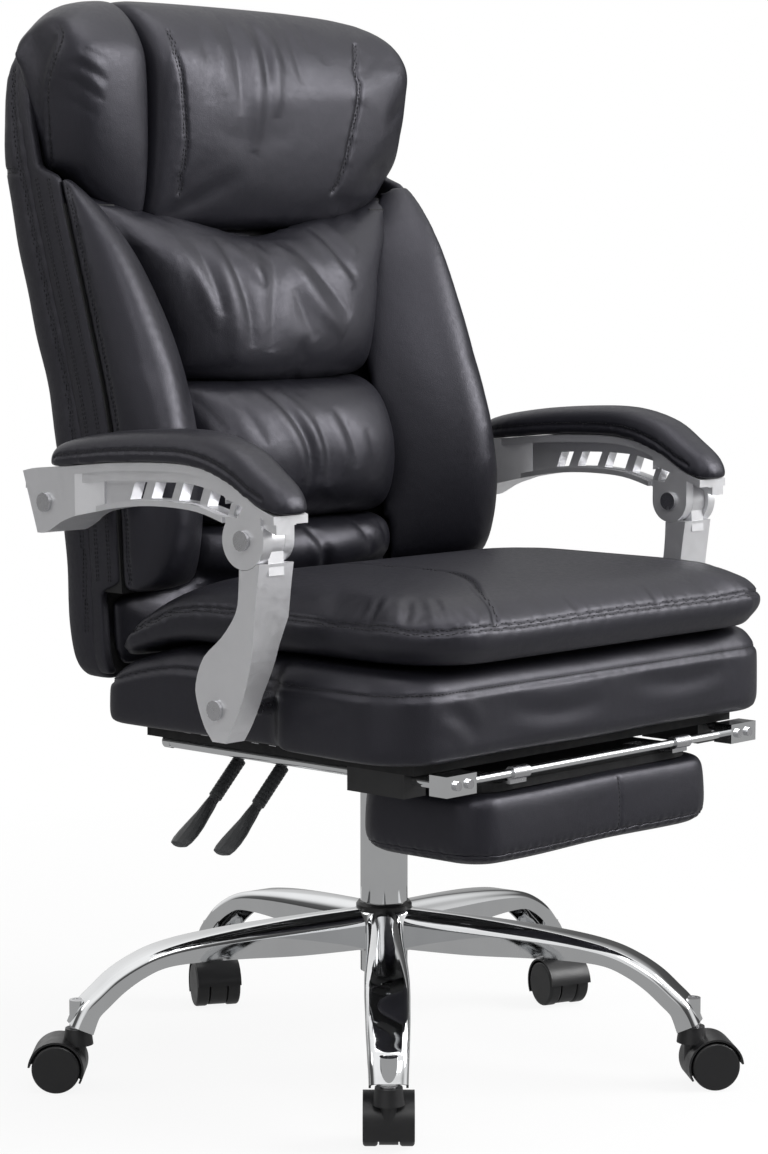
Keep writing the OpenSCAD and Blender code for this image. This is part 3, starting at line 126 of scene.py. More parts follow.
def mixed(tree, share, first, second):
    n = tree.nodes.new("ShaderNodeMixShader")
    for socket, source in zip(n.inputs, (share, first, second)):
        tree.links.new(source, socket)
    return n.outputs[0]


def make_world():
    """A white backdrop. Gloss shows a studio instead: a bright ceiling, dim walls and upright light panels."""
    world = bpy.data.worlds.new("world")
    bpy.context.scene.world = world
    world.use_nodes = True
    tree = world.node_tree
    tree.nodes.clear()
    out = tree.nodes.new("ShaderNodeOutputWorld")
    where = tree.nodes.new("ShaderNodeTexCoord")
    split = tree.nodes.new("ShaderNodeSeparateXYZ")
    tree.links.new(where.outputs["Generated"], split.inputs[0])
    turn = math_node(tree, "ARCTAN2", split.outputs["X"], split.outputs["Y"])
    wave = math_node(tree, "ADD", math_node(tree, "MULTIPLY", turn, PANELS), PANEL_TURN)
    wave = math_node(tree, "MULTIPLY", math_node(tree, "SINE", wave), 0.5)
    wave = math_node(tree, "ADD", wave, 0.5)
    panels = ramp(tree, wave, [(0.0, 0.05), (0.35, 0.09), (0.62, 0.6), (1.0, 0.85)])
    high = ramp(tree, split.outputs["Z"], [(0.0, 0.0), (0.32, 0.04), (0.55, 0.85), (1.0, 1.0)])
    studio = tree.nodes.new("ShaderNodeMix")
    studio.data_type = "RGBA"
    tree.links.new(high, studio.inputs[0])
    tree.links.new(panels, studio.inputs[6])
    studio.inputs[7].default_value = WHITE
    bright = glowing(tree, "Background", 1, studio.outputs[2])
    shown = mixed(tree, any_ray(tree, "Is Glossy Ray"), glowing(tree, "Background", AMBIENT), bright)
    direct = any_ray(tree, "Is Camera Ray", "Is Transmission Ray")
    tree.links.new(mixed(tree, direct, shown, glowing(tree, "Background", 1)), out.inputs["Surface"])


def make_floor():
    """A pale floor that fades to plain white away from the object and shows dimmer in gloss."""
    h = FLOOR_HALF
    ob = mesh_object("floor", [(-h, -h, 0), (h, -h, 0), (h, h, 0), (-h, h, 0)], [(0, 1, 2, 3)])
    ob.location = (0, 0, -FLOOR_DROP)
    mat = bpy.data.materials.new("floor")
    mat.use_nodes = True
    tree = mat.node_tree
    tree.nodes.clear()
    out = tree.nodes.new("ShaderNodeOutputMaterial")
    pale = tree.nodes.new("ShaderNodeBsdfDiffuse")
    pale.inputs["Color"].default_value = (FLOOR_GREY, FLOOR_GREY, FLOOR_GREY, 1)
    where = tree.nodes.new("ShaderNodeTexCoord")
    far = tree.nodes.new("ShaderNodeVectorMath")
    far.operation = "LENGTH"
    tree.links.new(where.outputs["Object"], far.inputs[0])
    fade = ramp(tree, math_node(tree, "MULTIPLY", far.outputs["Value"], 0.5),
                [(0.0, FLOOR_GLOW), (0.35, FLOOR_GLOW), (0.8, 1.0), (1.0, 1.0)])
    direct = any_ray(tree, "Is Camera Ray", "Is Transmission Ray")
    seen = math_node(tree, "MULTIPLY", direct, fade)
    dim = glowing(tree, "Emission", FLOOR_GLOSS)
    shown = mixed(tree, any_ray(tree, "Is Glossy Ray"), pale.outputs[0], dim)
    tree.links.new(mixed(tree, seen, shown, glowing(tree, "Emission", 1)), out.inputs["Surface"])
    ob.data.materials.append(mat)


# Mesh helpers

def mesh_object(name, verts, faces, smooth=False):
    me = bpy.data.meshes.new(name)
    me.from_pydata([tuple(map(float, v)) for v in verts], [], [tuple(map(int, f)) for f in faces])
    me.update()
    ob = bpy.data.objects.new(name, me)
    bpy.context.scene.collection.objects.link(ob)
    if smooth:
        me.shade_smooth()
    return ob


def outward(ob):
    bm = bmesh.new()
    bm.from_mesh(ob.data)
    bmesh.ops.recalc_face_normals(bm, faces=bm.faces)
    bm.to_mesh(ob.data)
    bm.free()
    return ob


def band(m, n, closed=False):
    """Faces between m rings of n points each, and back to the first ring where closed."""
    return [(i * n + j, i * n + (j + 1) % n, (i + 1) % m * n + (j + 1) % n, (i + 1) % m * n + j)
            for i in range(m if closed else m - 1) for j in range(n)]


def loft(name, rings):
    """Closed mesh through rings of equally many points, in millimetres."""
    rings = np.asarray(rings, float) * MM
    m, n = rings.shape[:2]
    verts = list(rings.reshape(-1, 3)) + [rings[0].mean(0), rings[-1].mean(0)]
    faces = band(m, n)
    for j in range(n):
        k = (j + 1) % n
        faces += [(m * n, k, j), (m * n + 1, (m - 1) * n + j, (m - 1) * n + k)]
    return outward(mesh_object(name, verts, faces, True))


def between(first, last, count):
    """So many places evenly between two, without the two."""
    return np.linspace(first, last, count + 2)[1:-1]


def smooth_through(points, n):
    """Catmull-Rom curve through points, with n steps between each two."""
    p = np.asarray(points, float)
    out = []
    for i in range(len(p) - 1):
        a, b, c, d = p[max(i - 1, 0)], p[i], p[i + 1], p[min(i + 2, len(p) - 1)]
        for k in range(n):
            t = k / n
            out.append(0.5 * (2 * b + (c - a) * t + (2 * a - 5 * b + 4 * c - d) * t ** 2
                              + (3 * b - a - 3 * c + d) * t ** 3))
    out.append(p[-1])
    return np.array(out)


def lengths(points):
    """How far along the polyline each of its points lies."""
    return np.concatenate([[0], np.cumsum(np.linalg.norm(np.diff(points, axis=0), axis=1))])


def spaced(points, count):
    """As many points as count, evenly along the polyline."""
    p = np.asarray(points, float)
    run = lengths(p)
    at = np.linspace(0, run[-1], count)
    return np.stack([np.interp(at, run, p[:, k]) for k in range(p.shape[1])], axis=1)


def even_points(points, step):
    """The polyline's points again, every step along it."""
    return spaced(points, max(int(round(lengths(points)[-1] / step)), 1) + 1)


def table(pairs, x):
    """Smooth value at x of a table of (x, value) pairs."""
    fine = smooth_through(pairs, 8)
    return np.interp(x, fine[:, 0], fine[:, 1])


def coords(ob):
    co = np.zeros(len(ob.data.vertices) * 3)
    ob.data.vertices.foreach_get("co", co)
    return co.reshape(-1, 3)


def set_coords(ob, co):
    ob.data.vertices.foreach_set("co", np.asarray(co, float).ravel())
    ob.data.update()


def normals(ob):
    no = np.zeros(len(ob.data.vertices) * 3)
    ob.data.vertex_normals.foreach_get("vector", no)
    return no.reshape(-1, 3)


def applied(ob):
    """Makes the modifiers' result the object's own mesh."""
    dg = bpy.context.evaluated_depsgraph_get()
    new = bpy.data.meshes.new_from_object(ob.evaluated_get(dg))
    ob.modifiers.clear()
    old = ob.data
    ob.data = new
    bpy.data.meshes.remove(old)
    return ob


def remeshed(ob, voxel):
    mod = ob.modifiers.new("remesh", "REMESH")
    mod.mode = "VOXEL"
    mod.voxel_size = voxel
    return applied(ob)


def subdivided(ob):
    mod = ob.modifiers.new("subdivision", "SUBSURF")
    mod.levels = mod.render_levels = 1
    applied(ob)
    ob.data.shade_smooth()
    return ob


def relaxed(ob, rounds):
    mod = ob.modifiers.new("smooth", "SMOOTH")
    mod.iterations = rounds
    mod.factor = 0.5
    return applied(ob)


def skinned(ob, voxel, rounds=2):
    """An even skin of small faces with softened edges."""
    remeshed(ob, voxel)
    relaxed(ob, rounds)
    return subdivided(ob)


def swollen(ob, wave, height):
    """Slow unevenness, as padding has: wave(x, y, z) gives it from -1 to 1."""
    co, no = coords(ob), normals(ob)
    set_coords(ob, co + no * (wave(*co.T) * height)[:, None])


CLOTH_FRAMES = 20
CLOTH = {"quality": 5, "mass": 0.3, "tension_stiffness": 12, "compression_stiffness": 12, "shear_stiffness": 6,
         "bending_stiffness": 0.6, "air_damping": 2, "use_pressure": True, "uniform_pressure_force": 4.0}


def puffed(ob, held, voxel=0.006, grow=0.0, cap=0.006, calm=12):
    remeshed(ob, voxel)
    before = coords(ob)
    group = ob.vertex_groups.new(name="held")
    weight = np.clip(held(before / MM), 0, 1)
    for w in np.unique(np.round(weight, 2)):
        if w > 0:
            group.add([int(i) for i in np.flatnonzero(np.round(weight, 2) == w)], float(w), "REPLACE")
    mod = ob.modifiers.new("cloth", "CLOTH")
    for key, value in CLOTH.items():
        setattr(mod.settings, key, value)
    mod.settings.shrink_min = -grow
    mod.settings.vertex_group_mass = "held"
    mod.settings.effector_weights.gravity = 0
    mod.collision_settings.use_self_collision = False
    mod.collision_settings.use_collision = False
    for f in range(1, CLOTH_FRAMES + 1):
        bpy.context.scene.frame_set(f)
    dg = bpy.context.evaluated_depsgraph_get()
    move = coords(ob.evaluated_get(dg)) - before
    far = np.linalg.norm(move, axis=1, keepdims=True)
    move *= np.minimum(1, cap / np.maximum(far, 1e-9)) * (1 - weight[:, None] ** 4)
    ob.modifiers.clear()
    ob.vertex_groups.clear()
    set_coords(ob, before + move)
    bpy.context.scene.frame_set(1)
    relaxed(ob, calm)
    return subdivided(ob)


def near_line(co, line, reach):
    """For each point within reach of the polyline: (indices, distance, place along the line)."""
    line = even_points(line, 0.0025)
    run = lengths(line)
    low, high = line.min(0) - reach, line.max(0) + reach
    idx = np.flatnonzero(np.all((co >= low) & (co <= high), axis=1))
    if not len(idx):
        return idx, np.zeros(0), np.zeros(0)
    dist = np.full(len(idx), 1e9)
    at = np.zeros(len(idx))
    for start in range(0, len(idx), 4000):
        part = co[idx[start:start + 4000]]
        d = np.linalg.norm(part[:, None, :] - line[None, :, :], axis=2)
        k = d.argmin(1)
        dist[start:start + 4000] = d[np.arange(len(part)), k]
        at[start:start + 4000] = run[k]
    keep = dist <= reach
    return idx[keep], dist[keep], at[keep]


def sewn(ob, line, depth=2.2, width=3.0, pucker=0.8, reach=16, pitch=11, phase=0.0):
    """Draws a seam's groove into the mesh, with puckers across it."""
    co, no = coords(ob), normals(ob)
    idx, d, s = near_line(co, np.asarray(line) * MM, reach * MM)
    d, s = d / MM, 2 * math.pi * s / MM / pitch
    groove = -depth * np.exp(-(d / width) ** 2)
    wave = (np.sin(s + phase) + 0.7 * np.sin(s / 1.63 + 1.7 + phase) + 0.5 * np.sin(s / 0.61 + 0.4)) / 2.2
    fade = np.exp(-((d - width) / (reach * 0.45)) ** 2) * np.minimum(1, d / width)
    co[idx] += no[idx] * ((groove + pucker * wave * fade) * MM)[:, None]
    set_coords(ob, co)


def creased(ob, tree, creases, ridge):
    """Short soft folds, each (points, depth, width): a valley between two ridges, fading at its ends."""
    for points, depth, width in creases:
        line = smooth_through(laid_on(tree, smooth_through(points, 8))[0], 6)
        co, no = coords(ob), normals(ob)
        idx, d, s = near_line(co, line * MM, width * 3.2 * MM)
        fade = np.sin(math.pi * np.clip(s / MM / lengths(line)[-1], 0.02, 0.98)) ** 0.8
        d = d / MM
        valley = -depth * np.exp(-(d / width) ** 2)
        crest = depth * ridge * np.exp(-((d - 1.9 * width) / width) ** 2)
        co[idx] += no[idx] * ((valley + crest) * fade * MM)[:, None]
        set_coords(ob, co)


def folded(ob, folds):
    """Long soft folds in the front, each (points (x, z), height, width): a ridge, or a valley below zero."""
    co, no = coords(ob), normals(ob)
    seen = np.clip((-no[:, 1] - 0.1) / 0.4, 0, 1)
    rise = np.zeros(len(co))
    for points, height, width in folds:
        line = smooth_through(points, 8)
        idx, d, s = near_line(co[:, (0, 2)], line * MM, width * 2.8 * MM)
        along = np.sin(math.pi * np.clip(s / MM / lengths(line)[-1], 0, 1))
        spread = width * (0.65 + 0.35 * along)
        rise[idx] += height * along ** 0.7 * np.exp(-(d / MM / spread) ** (2 if height > 0 else 1.5))
    set_coords(ob, co + no * (rise * seen * MM)[:, None])


def surface(ob):
    dg = bpy.context.evaluated_depsgraph_get()
    return BVHTree.FromObject(ob, dg)


def laid_on(tree, line, lift=0.0):
    """The polyline's points moved onto a surface, with its normals, in millimetres."""
    out, up = [], []
    for p in np.asarray(line, float):
        hit, normal, _, _ = tree.find_nearest(Vector(p * MM))
        out.append(np.array(hit) / MM + np.array(normal) * lift)
        up.append(np.array(normal))
    return np.array(out), np.array(up)


def loop_on(tree, points):
    """The points' closed loop, laid on a surface."""
    return laid_on(tree, even_points(np.concatenate([points, points[:1]]), 4))[0]


def tube(line, radius, sides=8, closed=False):
    """(verts, faces) of a round tube along a polyline, in millimetres."""
    p = np.asarray(line, float)
    n = len(p)
    way = np.roll(p, -1, axis=0) - np.roll(p, 1, axis=0) if closed else np.gradient(p, axis=0)
    way /= np.maximum(np.linalg.norm(way, axis=1, keepdims=True), 1e-9)
    ref = np.array([0.0, 0.0, 1.0]) if abs(way[0][2]) < 0.9 else np.array([1.0, 0.0, 0.0])
    u = np.cross(way[0], ref)
    u /= np.linalg.norm(u)
    verts = []
    for i in range(n):
        u = u - way[i] * np.dot(u, way[i])
        u /= np.linalg.norm(u)
        w = np.cross(way[i], u)
        for k in range(sides):
            a = 2 * math.pi * k / sides
            verts.append(p[i] + (u * math.cos(a) + w * math.sin(a)) * radius)
    faces = band(n, sides, closed)
    if not closed:
        faces.append(tuple(reversed(range(sides))))
        faces.append(tuple((n - 1) * sides + k for k in range(sides)))
    return verts, faces


def joined(name, parts):
    """One object from several (verts, faces) in millimetres."""
    verts, faces = [], []
    for v, f in parts:
        base = len(verts)
        verts += [np.asarray(q) * MM for q in v]
        faces += [tuple(base + i for i in g) for g in f]
    return outward(mesh_object(name, verts, faces, True))


def piping(name, ob, line, radius=1.3, lift=0.2):
    """A closed cord along a seam."""
    p, _ = laid_on(surface(ob), even_points(line, 4), lift)
    return joined(name, [tube(p, radius, 8, True)])


STITCH = [(-0.5, -0.7), (-0.25, 0.6), (0.25, 0.6), (0.5, -0.7)]  # shares of its length and its radius


def stitches(name, ob, lines, offsets=(-2.6, 2.6), length=3.0, pitch=4.6, radius=0.42):
    """Rows of thread on each side of a seam, each stitch a short rounded bar that dips in at its ends."""
    tree = surface(ob)
    parts = []
    for line in lines:
        base, up = laid_on(tree, even_points(line, pitch))
        if len(base) < 3:
            continue
        way = np.gradient(base, axis=0)
        way /= np.maximum(np.linalg.norm(way, axis=1, keepdims=True), 1e-9)
        across = np.cross(way, up)
        for off in offsets:
            side, up2 = laid_on(tree, base + across * off)
            for p, w, u in zip(side, way, up2):
                parts.append(tube([p + w * length * a + u * radius * b for a, b in STITCH], radius, 5))
    return joined(name, parts)


# Materials

def noise_node(tree, scale, detail=3, rough=0.5, kind="ShaderNodeTexNoise"):
    where = tree.nodes.get("where") or tree.nodes.new("ShaderNodeTexCoord")
    where.name = "where"
    n = tree.nodes.new(kind)
    n.inputs["Scale"].default_value = scale
    if kind == "ShaderNodeTexNoise":
        n.inputs["Detail"].default_value = detail
        n.inputs["Roughness"].default_value = rough
    tree.links.new(where.outputs["Object"], n.inputs["Vector"])
    return n


def ramp(tree, source, stops):
    r = tree.nodes.new("ShaderNodeValToRGB")
    el = r.color_ramp.elements
    while len(el) < len(stops):
        el.new(0.5)
    for e, (at, c) in zip(el, stops):
        e.position = at
        e.color = (*c, 1) if isinstance(c, tuple) else (c, c, c, 1)
    tree.links.new(source, r.inputs[0])
    return r.outputs[0]


def bump(tree, height, strength, distance, before=None):
    b = tree.nodes.new("ShaderNodeBump")
    b.inputs["Strength"].default_value = strength
    b.inputs["Distance"].default_value = distance
    tree.links.new(height, b.inputs["Height"])
    if before is not None:
        tree.links.new(before, b.inputs["Normal"])
    return b.outputs["Normal"]


def clouded(name, cloud, stops, fine, rough):
    """A material whose colour varies slowly and whose roughness varies finely: (material, nodes, shader)."""
    mat = bpy.data.materials.new(name)
    mat.use_nodes = True
    tree = mat.node_tree
    sh = tree.nodes["Principled BSDF"]
    tint = ramp(tree, noise_node(tree, *cloud).outputs["Fac"], stops)
    tree.links.new(tint, sh.inputs["Base Color"])
    spread = ramp(tree, noise_node(tree, *fine).outputs["Fac"], [(0.3, rough[0]), (0.7, rough[1])])
    tree.links.new(spread, sh.inputs["Roughness"])
    return mat, tree, sh


def leather(name, base=0.010, rough=(0.35, 0.46), grain=0.2):
    dark, light = (base * 0.8, base * 0.8, base * 1.1), (base * 1.1, base * 1.1, base * 1.5)
    mat, tree, sh = clouded(name, (9, 3), [(0.3, dark), (0.7, light)], (190, 4, 0.6), rough)
    sh.inputs["Specular IOR Level"].default_value = 0.5
    sh.inputs["Specular Tint"].default_value = (0.90, 0.88, 1, 1)
    cells = noise_node(tree, 620, kind="ShaderNodeTexVoronoi")
    cells.feature = "DISTANCE_TO_EDGE"
    pebble = ramp(tree, cells.outputs["Distance"], [(0.0, 0.0), (0.28, 1.0)])
    folds = bump(tree, noise_node(tree, 38, 4).outputs["Fac"], 0.3, 0.0014)
    tree.links.new(bump(tree, pebble, grain, 0.00025, folds), sh.inputs["Normal"])
    return mat


def metal(name, color, rough, brushed, bump_scale, bump_size, metallic=1.0):
    stops = [(0.25, tuple(c * 0.94 for c in color)), (0.75, color)]
    mat, tree, sh = clouded(name, (22, 4), stops, (140, 3), rough)
    sh.inputs["Metallic"].default_value = metallic
    grit = noise_node(tree, bump_scale, 3)
    tree.links.new(bump(tree, grit.outputs["Fac"], 0.2 + brushed, bump_size), sh.inputs["Normal"])
    return mat


def plastic(name, color, rough, grit, size, strength=0.35):
    stops = [(0.3, tuple(c * 0.85 for c in color)), (0.7, color)]
    mat, tree, sh = clouded(name, (30, 3), stops, (90, 4), rough)
    tex = noise_node(tree, grit, 2)
    tree.links.new(bump(tree, tex.outputs["Fac"], strength, size), sh.inputs["Normal"])
    return mat


MAT = {}


def make_materials():
    MAT["leather"] = leather("leather")
    MAT["leather_dark"] = leather("leather_dark", 0.008, (0.46, 0.60), 0.28)
    MAT["thread"] = plastic("thread", (0.016, 0.016, 0.019), (0.7, 0.85), 1500, 0.0002)
    MAT["chrome"] = metal("chrome", (0.86, 0.87, 0.88), (0.03, 0.07), 0, 60, 0.00002)
    MAT["silver"] = metal("silver", (0.78, 0.78, 0.80), (0.30, 0.42), 0.25, 700, 0.00014, 0.7)
    MAT["steel"] = metal("steel", (0.66, 0.66, 0.68), (0.18, 0.3), 0.1, 700, 0.00004)
    MAT["black_steel"] = plastic("black_steel", (0.02, 0.02, 0.021), (0.38, 0.5), 700, 0.0001)
    MAT["black_plastic"] = plastic("black_plastic", (0.014, 0.014, 0.015), (0.28, 0.4), 500, 0.00006)
    MAT["grip"] = plastic("grip", (0.05, 0.052, 0.055), (0.36, 0.5), 800, 0.0001)
    MAT["lining"] = plastic("lining", (0.012, 0.012, 0.013), (0.75, 0.9), 1400, 0.0004, 0.6)


def give(ob, material, body):
    ob.data.materials.clear()
    ob.data.materials.append(MAT[material])
    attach(ob, body)
    return ob


def threaded(name, ob, lines, offsets, body="back", **sizes):
    """A seam's rows of stitches, in thread."""
    return give(stitches(name, ob, lines, offsets, **sizes), "thread", body)


# Shapes shared with the solids

BACK_Z, BACK_H, BACK_HW, BACK_Y = 420, 683, 265, 151
SLOPE_LOW, SLOPE_UP = math.tan(math.radians(4)), math.tan(math.radians(17))
BEND = (600, 740)
SIDE_DEPTH = 38
PAD_GAP = 0.5


def board_y(z):
    """The depth of the back board's front: nearly upright below, leaning above, with a bend between."""
    z = np.asarray(z, float)
    up, bend = z - BEND[0], BEND[1] - BEND[0]
    bent = np.where(up < 0, 0, np.where(up < bend, up ** 2 / 2 / bend, up - bend / 2))
    return BACK_Y + SLOPE_LOW * (z - BACK_Z) + (SLOPE_UP - SLOPE_LOW) * bent


def power(v, e):
    return np.sign(v) * np.abs(v) ** e


def half_ring(hw, y0, depth, z, n, p, back=10):
    """Bulge over a flat side, with points along the flat side too."""
    a = np.linspace(0, math.pi, n)
    x = math.copysign(1, depth) * hw * power(np.cos(a), 2 / p)
    y = y0 + depth * np.abs(np.sin(a)) ** (2 / p)
    flat = between(x[-1], x[0], back)
    x = np.concatenate([x, flat])
    y = np.concatenate([y, np.full(back, y0)])
    return np.stack([x, y, np.full(len(x), z)], axis=1)


def eased(low, high, count):
    """From low to high, in small steps at both ends."""
    return low + (high - low) * (0.5 - 0.5 * np.cos(np.linspace(0, math.pi, count)))


# Soft pieces

HEAD_HW, HEAD_DEPTH, HEAD_SEAM = 260, 107, 143
HEAD_TOP, HEAD_LOW = 1132, 867  # in the middle
HEAD_LIFT, HEAD_REACH = 76, 266  # the lower edge rises by so much at this distance from the middle
HEAD_FULL, HEAD_LEAN = 1062, 0.0032  # it is thinner below this height, by this share of its depth per mm
HEAD_ROLL_TOP, HEAD_ROLL_LOW = 20, 22  # how far its edges roll in behind
HEAD_ROUND = (0.68, 0.70)  # how square its section is in depth and in height
HEAD_POINTS, HEAD_REAR_POINTS = 60, 14
# the end panels' outline, (height, depth in front of the board): it leans forward, and its top rolls back
HEAD_END = [
    (931, 0), (935, 8), (945, 15), (977, 25), (1018, 40), (1046, 58), (1064, 72), (1078, 79), (1088, 76),
    (1093, 66), (1092, 50), (1085, 30), (1074, 12), (1060, 0)]


def head_low(x):
    return HEAD_LOW + HEAD_LIFT * (np.abs(x) / HEAD_REACH) ** 4


def head_ring(x, depth, full):
    """The headrest's section at x. It follows the end panels where full is 0, and bulges towards 1."""
    t = abs(x) / HEAD_HW
    low, top = head_low(x), HEAD_TOP - 5 * t ** 2 - 18 * t ** 8
    a = np.linspace(math.pi, 0, 2 * HEAD_POINTS)
    out = np.abs(np.sin(a)) ** HEAD_ROUND[0]
    z = (low + top) / 2 + (top - low) / 2 * power(np.cos(a), HEAD_ROUND[1])
    up = (z - low) / (top - low)
    z = z + (1 - out) ** 2 * np.where(np.cos(a) > 0, -HEAD_ROLL_TOP * (1 + 1.2 * t ** 4), HEAD_ROLL_LOW)
    # the board leans back more than the pillow's front does, so the pillow is thinner lower down
    lean = 1 - HEAD_LEAN * np.maximum(0, HEAD_FULL - z)
    bulge = spaced(np.stack([z, depth * out * lean * (1 - 0.1 * (1 - up) * t ** 6)], 1), HEAD_POINTS)
    end = spaced(smooth_through(HEAD_END, 6), HEAD_POINTS)
    z, d = (end + (bulge - end) * full).T
    up = np.clip((z - low) / (top - low), 0, 1)
    # narrower at its lower and upper corners
    xs = x * (1 - (0.05 * (1 - up) ** 1.5 + 0.04 * np.clip((z - 1040) / 45, 0, 1) ** 2) * t ** 2)
    rear_x, rear_z = (between(v[-1], v[0], HEAD_REAR_POINTS) for v in (xs, z))
    return np.concatenate([np.stack([xs, board_y(z) - PAD_GAP - d, z], 1),
                           np.stack([rear_x, board_y(rear_z) - PAD_GAP, rear_z], 1)])


def head_line(ob, places):
    """A line down the headrest's front, through the places (z, x)."""
    z = np.linspace(1122, 892, HEAD_POINTS)
    return laid_on(surface(ob), [(a, float(board_y(q)) - 150, q) for a, q in zip(table(places, z), z)])[0]


# how full the section is at each distance from the end, and how deep at each distance from the groove
HEAD_ENDS = [(0, 0), (2, 0.30), (5, 0.55), (10, 0.78), (17, 0.92), (26, 0.98), (40, 1), (60, 1)]
HEAD_MATE = [(0, 0.62), (3, 0.78), (8, 0.88), (16, 0.94), (30, 0.975), (60, 1), (80, 1)]
# the seams right and left of the pillow's middle, as (height, x)
HEAD_STRIP = [(892, -122), (943, -120), (1013, -120), (1055, -122), (1090, -123), (1122, -119)]
HEAD_RIGHT = [(892, 120), (935, 129), (976, 137), (1017, 147), (1062, 153), (1092, 162), (1122, 172)]
HEAD_FOLDS = [
    (((-22, 1118), (-24, 1085), (-30, 1040), (-32, 1000)), -2.4, 8.8),
    (((2, 1116), (0, 1070), (-8, 1010), (-10, 960)), 2.2, 11.2),
    (((20, 1104), (17, 1070), (8, 1030)), -2.5, 8.8),
    (((36, 1116), (32, 1082), (24, 1040), (20, 1000)), 2.1, 10.0),
    (((75, 1116), (66, 1084), (62, 1036)), -2.1, 8.8),
    (((94, 1106), (90, 1072)), -1.7, 7.5),
    (((52, 1108), (46, 1076), (42, 1046)), -1.5, 8.8),
    (((-66, 1114), (-72, 1060), (-76, 1010)), -1.2, 15.0),
    (((-46, 1114), (-52, 1070), (-56, 1020)), 1.4, 12.5),
    (((112, 1100), (108, 1060)), -1.2, 10.0),
    (((-80, 990), (-20, 975), (50, 985)), -0.9, 20.0),
]
HEAD_PUCKERS = [
    (((-248, 1066), (-234, 1058), (-212, 1050)), -1.0, 3.6),
    (((-252, 1050), (-238, 1040), (-214, 1028)), -1.3, 4.0),
    (((-254, 1034), (-240, 1021), (-218, 1008)), -1.3, 4.0),
    (((-255, 1017), (-243, 1004), (-226, 992)), -1.0, 4.0),
    (((-250, 1058), (-236, 1049), (-216, 1039)), 0.7, 4.5),
    (((-253, 1042), (-239, 1031), (-218, 1018)), 0.8, 4.5),
]


def headrest():
    made = []
    for name, side, last in (("headrest_end_pad", -1, HEAD_SEAM + 1), ("headrest_pillow", 1, HEAD_SEAM - 1)):
        # from the end panel to the groove: the small pad on the sitter's right, and all the rest
        wide = HEAD_HW + side * last
        rings = []
        for far in eased(0, wide, 110):
            full = float(table(HEAD_ENDS, min(far, HEAD_ENDS[-1][0])))
            mate = float(table(HEAD_MATE, min(wide - far, HEAD_MATE[-1][0])))
            rings.append(head_ring(side * (HEAD_HW - far), HEAD_DEPTH * mate, full))
        ob = loft(name, rings)
        first, last = sorted((side * HEAD_HW, side * (HEAD_HW - wide)))

        def held(co, first=first, last=last):
            rear = (co[:, 1] > board_y(co[:, 2]) - 12) * 1.0
            sides = np.maximum(1 - (co[:, 0] - first) / 16, 1 - (last - co[:, 0]) / 16)
            return np.maximum(rear, sides)
        puffed(ob, held, voxel=0.005)
        give(ob, "leather", "back")
        made.append(ob)
    end_pad, pillow = made
    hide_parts("headrest")
    strip = head_line(pillow, HEAD_STRIP)
    sewn(pillow, strip, 2.0, 2.6, 0.3, 12, 19)
    right = head_line(pillow, HEAD_RIGHT)
    sewn(pillow, right, 2.6, 3.4, 0.4, 16, 23, 1.1)
    folded(pillow, HEAD_FOLDS)
    folded(end_pad, HEAD_PUCKERS)
    rim = [(-HEAD_HW, float(board_y(z)) - d, z) for z, d in smooth_through(HEAD_END[1:9], 6)]
    rim = laid_on(surface(end_pad), rim)[0]
    sewn(end_pad, rim, 1.4, 2.2, 0.4, 10, 9)
    threaded("headrest_end_stitches", end_pad, [rim], (2.4,))
    threaded("headrest_stitches", pillow, [strip, right], (-2.4, 2.4))


BOLSTER_OUT, BOLSTER_EDGE, BOLSTER_DEPTH = 263, 272, 116
BOLSTER_SECTION = [
    (0, 0), (0.01, 0.34), (0.04, 0.64), (0.09, 0.85), (0.16, 0.96), (0.26, 1), (0.4, 0.96), (0.56, 0.82),
    (0.72, 0.6), (0.86, 0.34), (0.95, 0.14), (1, 0)]


def bolster_ring(inn, rise, z):
    """A section whose crest lies near the outer side and whose inner side slopes down to the pads."""
    share, up = smooth_through(BOLSTER_SECTION, 5).T
    x = BOLSTER_OUT + (inn - BOLSTER_OUT) * share
    d = SIDE_DEPTH + PAD_GAP - 16 * share + rise * up
    x, d = (np.append(v, between(v[-1], v[0], 12)) for v in (x, d))
    return np.stack([x, float(board_y(z)) - d, np.full(len(x), z)], 1)


BOLSTER_RISE = [513, 522, 545, 575, 610, 645, 680, 729, 782, 845, 880, 903, 922, 934]
BOLSTER_FULL = [0.52, 0.72, 0.86, 0.95, 1, 1, 0.99, 0.95, 0.9, 0.80, 0.70, 0.60, 0.50, 0.42]
BOLSTER_INNER = [146, 142, 140, 139, 138, 137, 137, 137, 144, 164, 184, 202, 222, 236]


def bolster(side, name):
    z = np.linspace(BOLSTER_RISE[0], BOLSTER_RISE[-1], 64)
    inner = table(list(zip(BOLSTER_RISE, BOLSTER_INNER)), z) + 1
    depth = table([(a, b * BOLSTER_DEPTH - SIDE_DEPTH) for a, b in zip(BOLSTER_RISE, BOLSTER_FULL)], z)
    rings = [bolster_ring(i, max(d, 4), q) * [side, 1, 1] for i, d, q in zip(inner, depth, z)]
    ob = loft(name + "_cover", rings)

    def held(co):
        rear = (co[:, 1] > board_y(co[:, 2]) - SIDE_DEPTH - 6) * 1.0
        return np.maximum(rear, (co[:, 2] < 520) * 1.0)
    puffed(ob, held, cap=0.005)
    edge = [(side * BOLSTER_EDGE, float(board_y(q)) - SIDE_DEPTH - 13, q) for q in np.linspace(520, 925, 80)]
    edge = laid_on(surface(ob), edge)[0]
    sewn(ob, edge, 1.8, 2.6, 0.5, 10, 23)
    give(ob, "leather", "back")
    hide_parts(name)
    threaded(name + "_stitches", ob, [edge], (-2.4, 2.4))


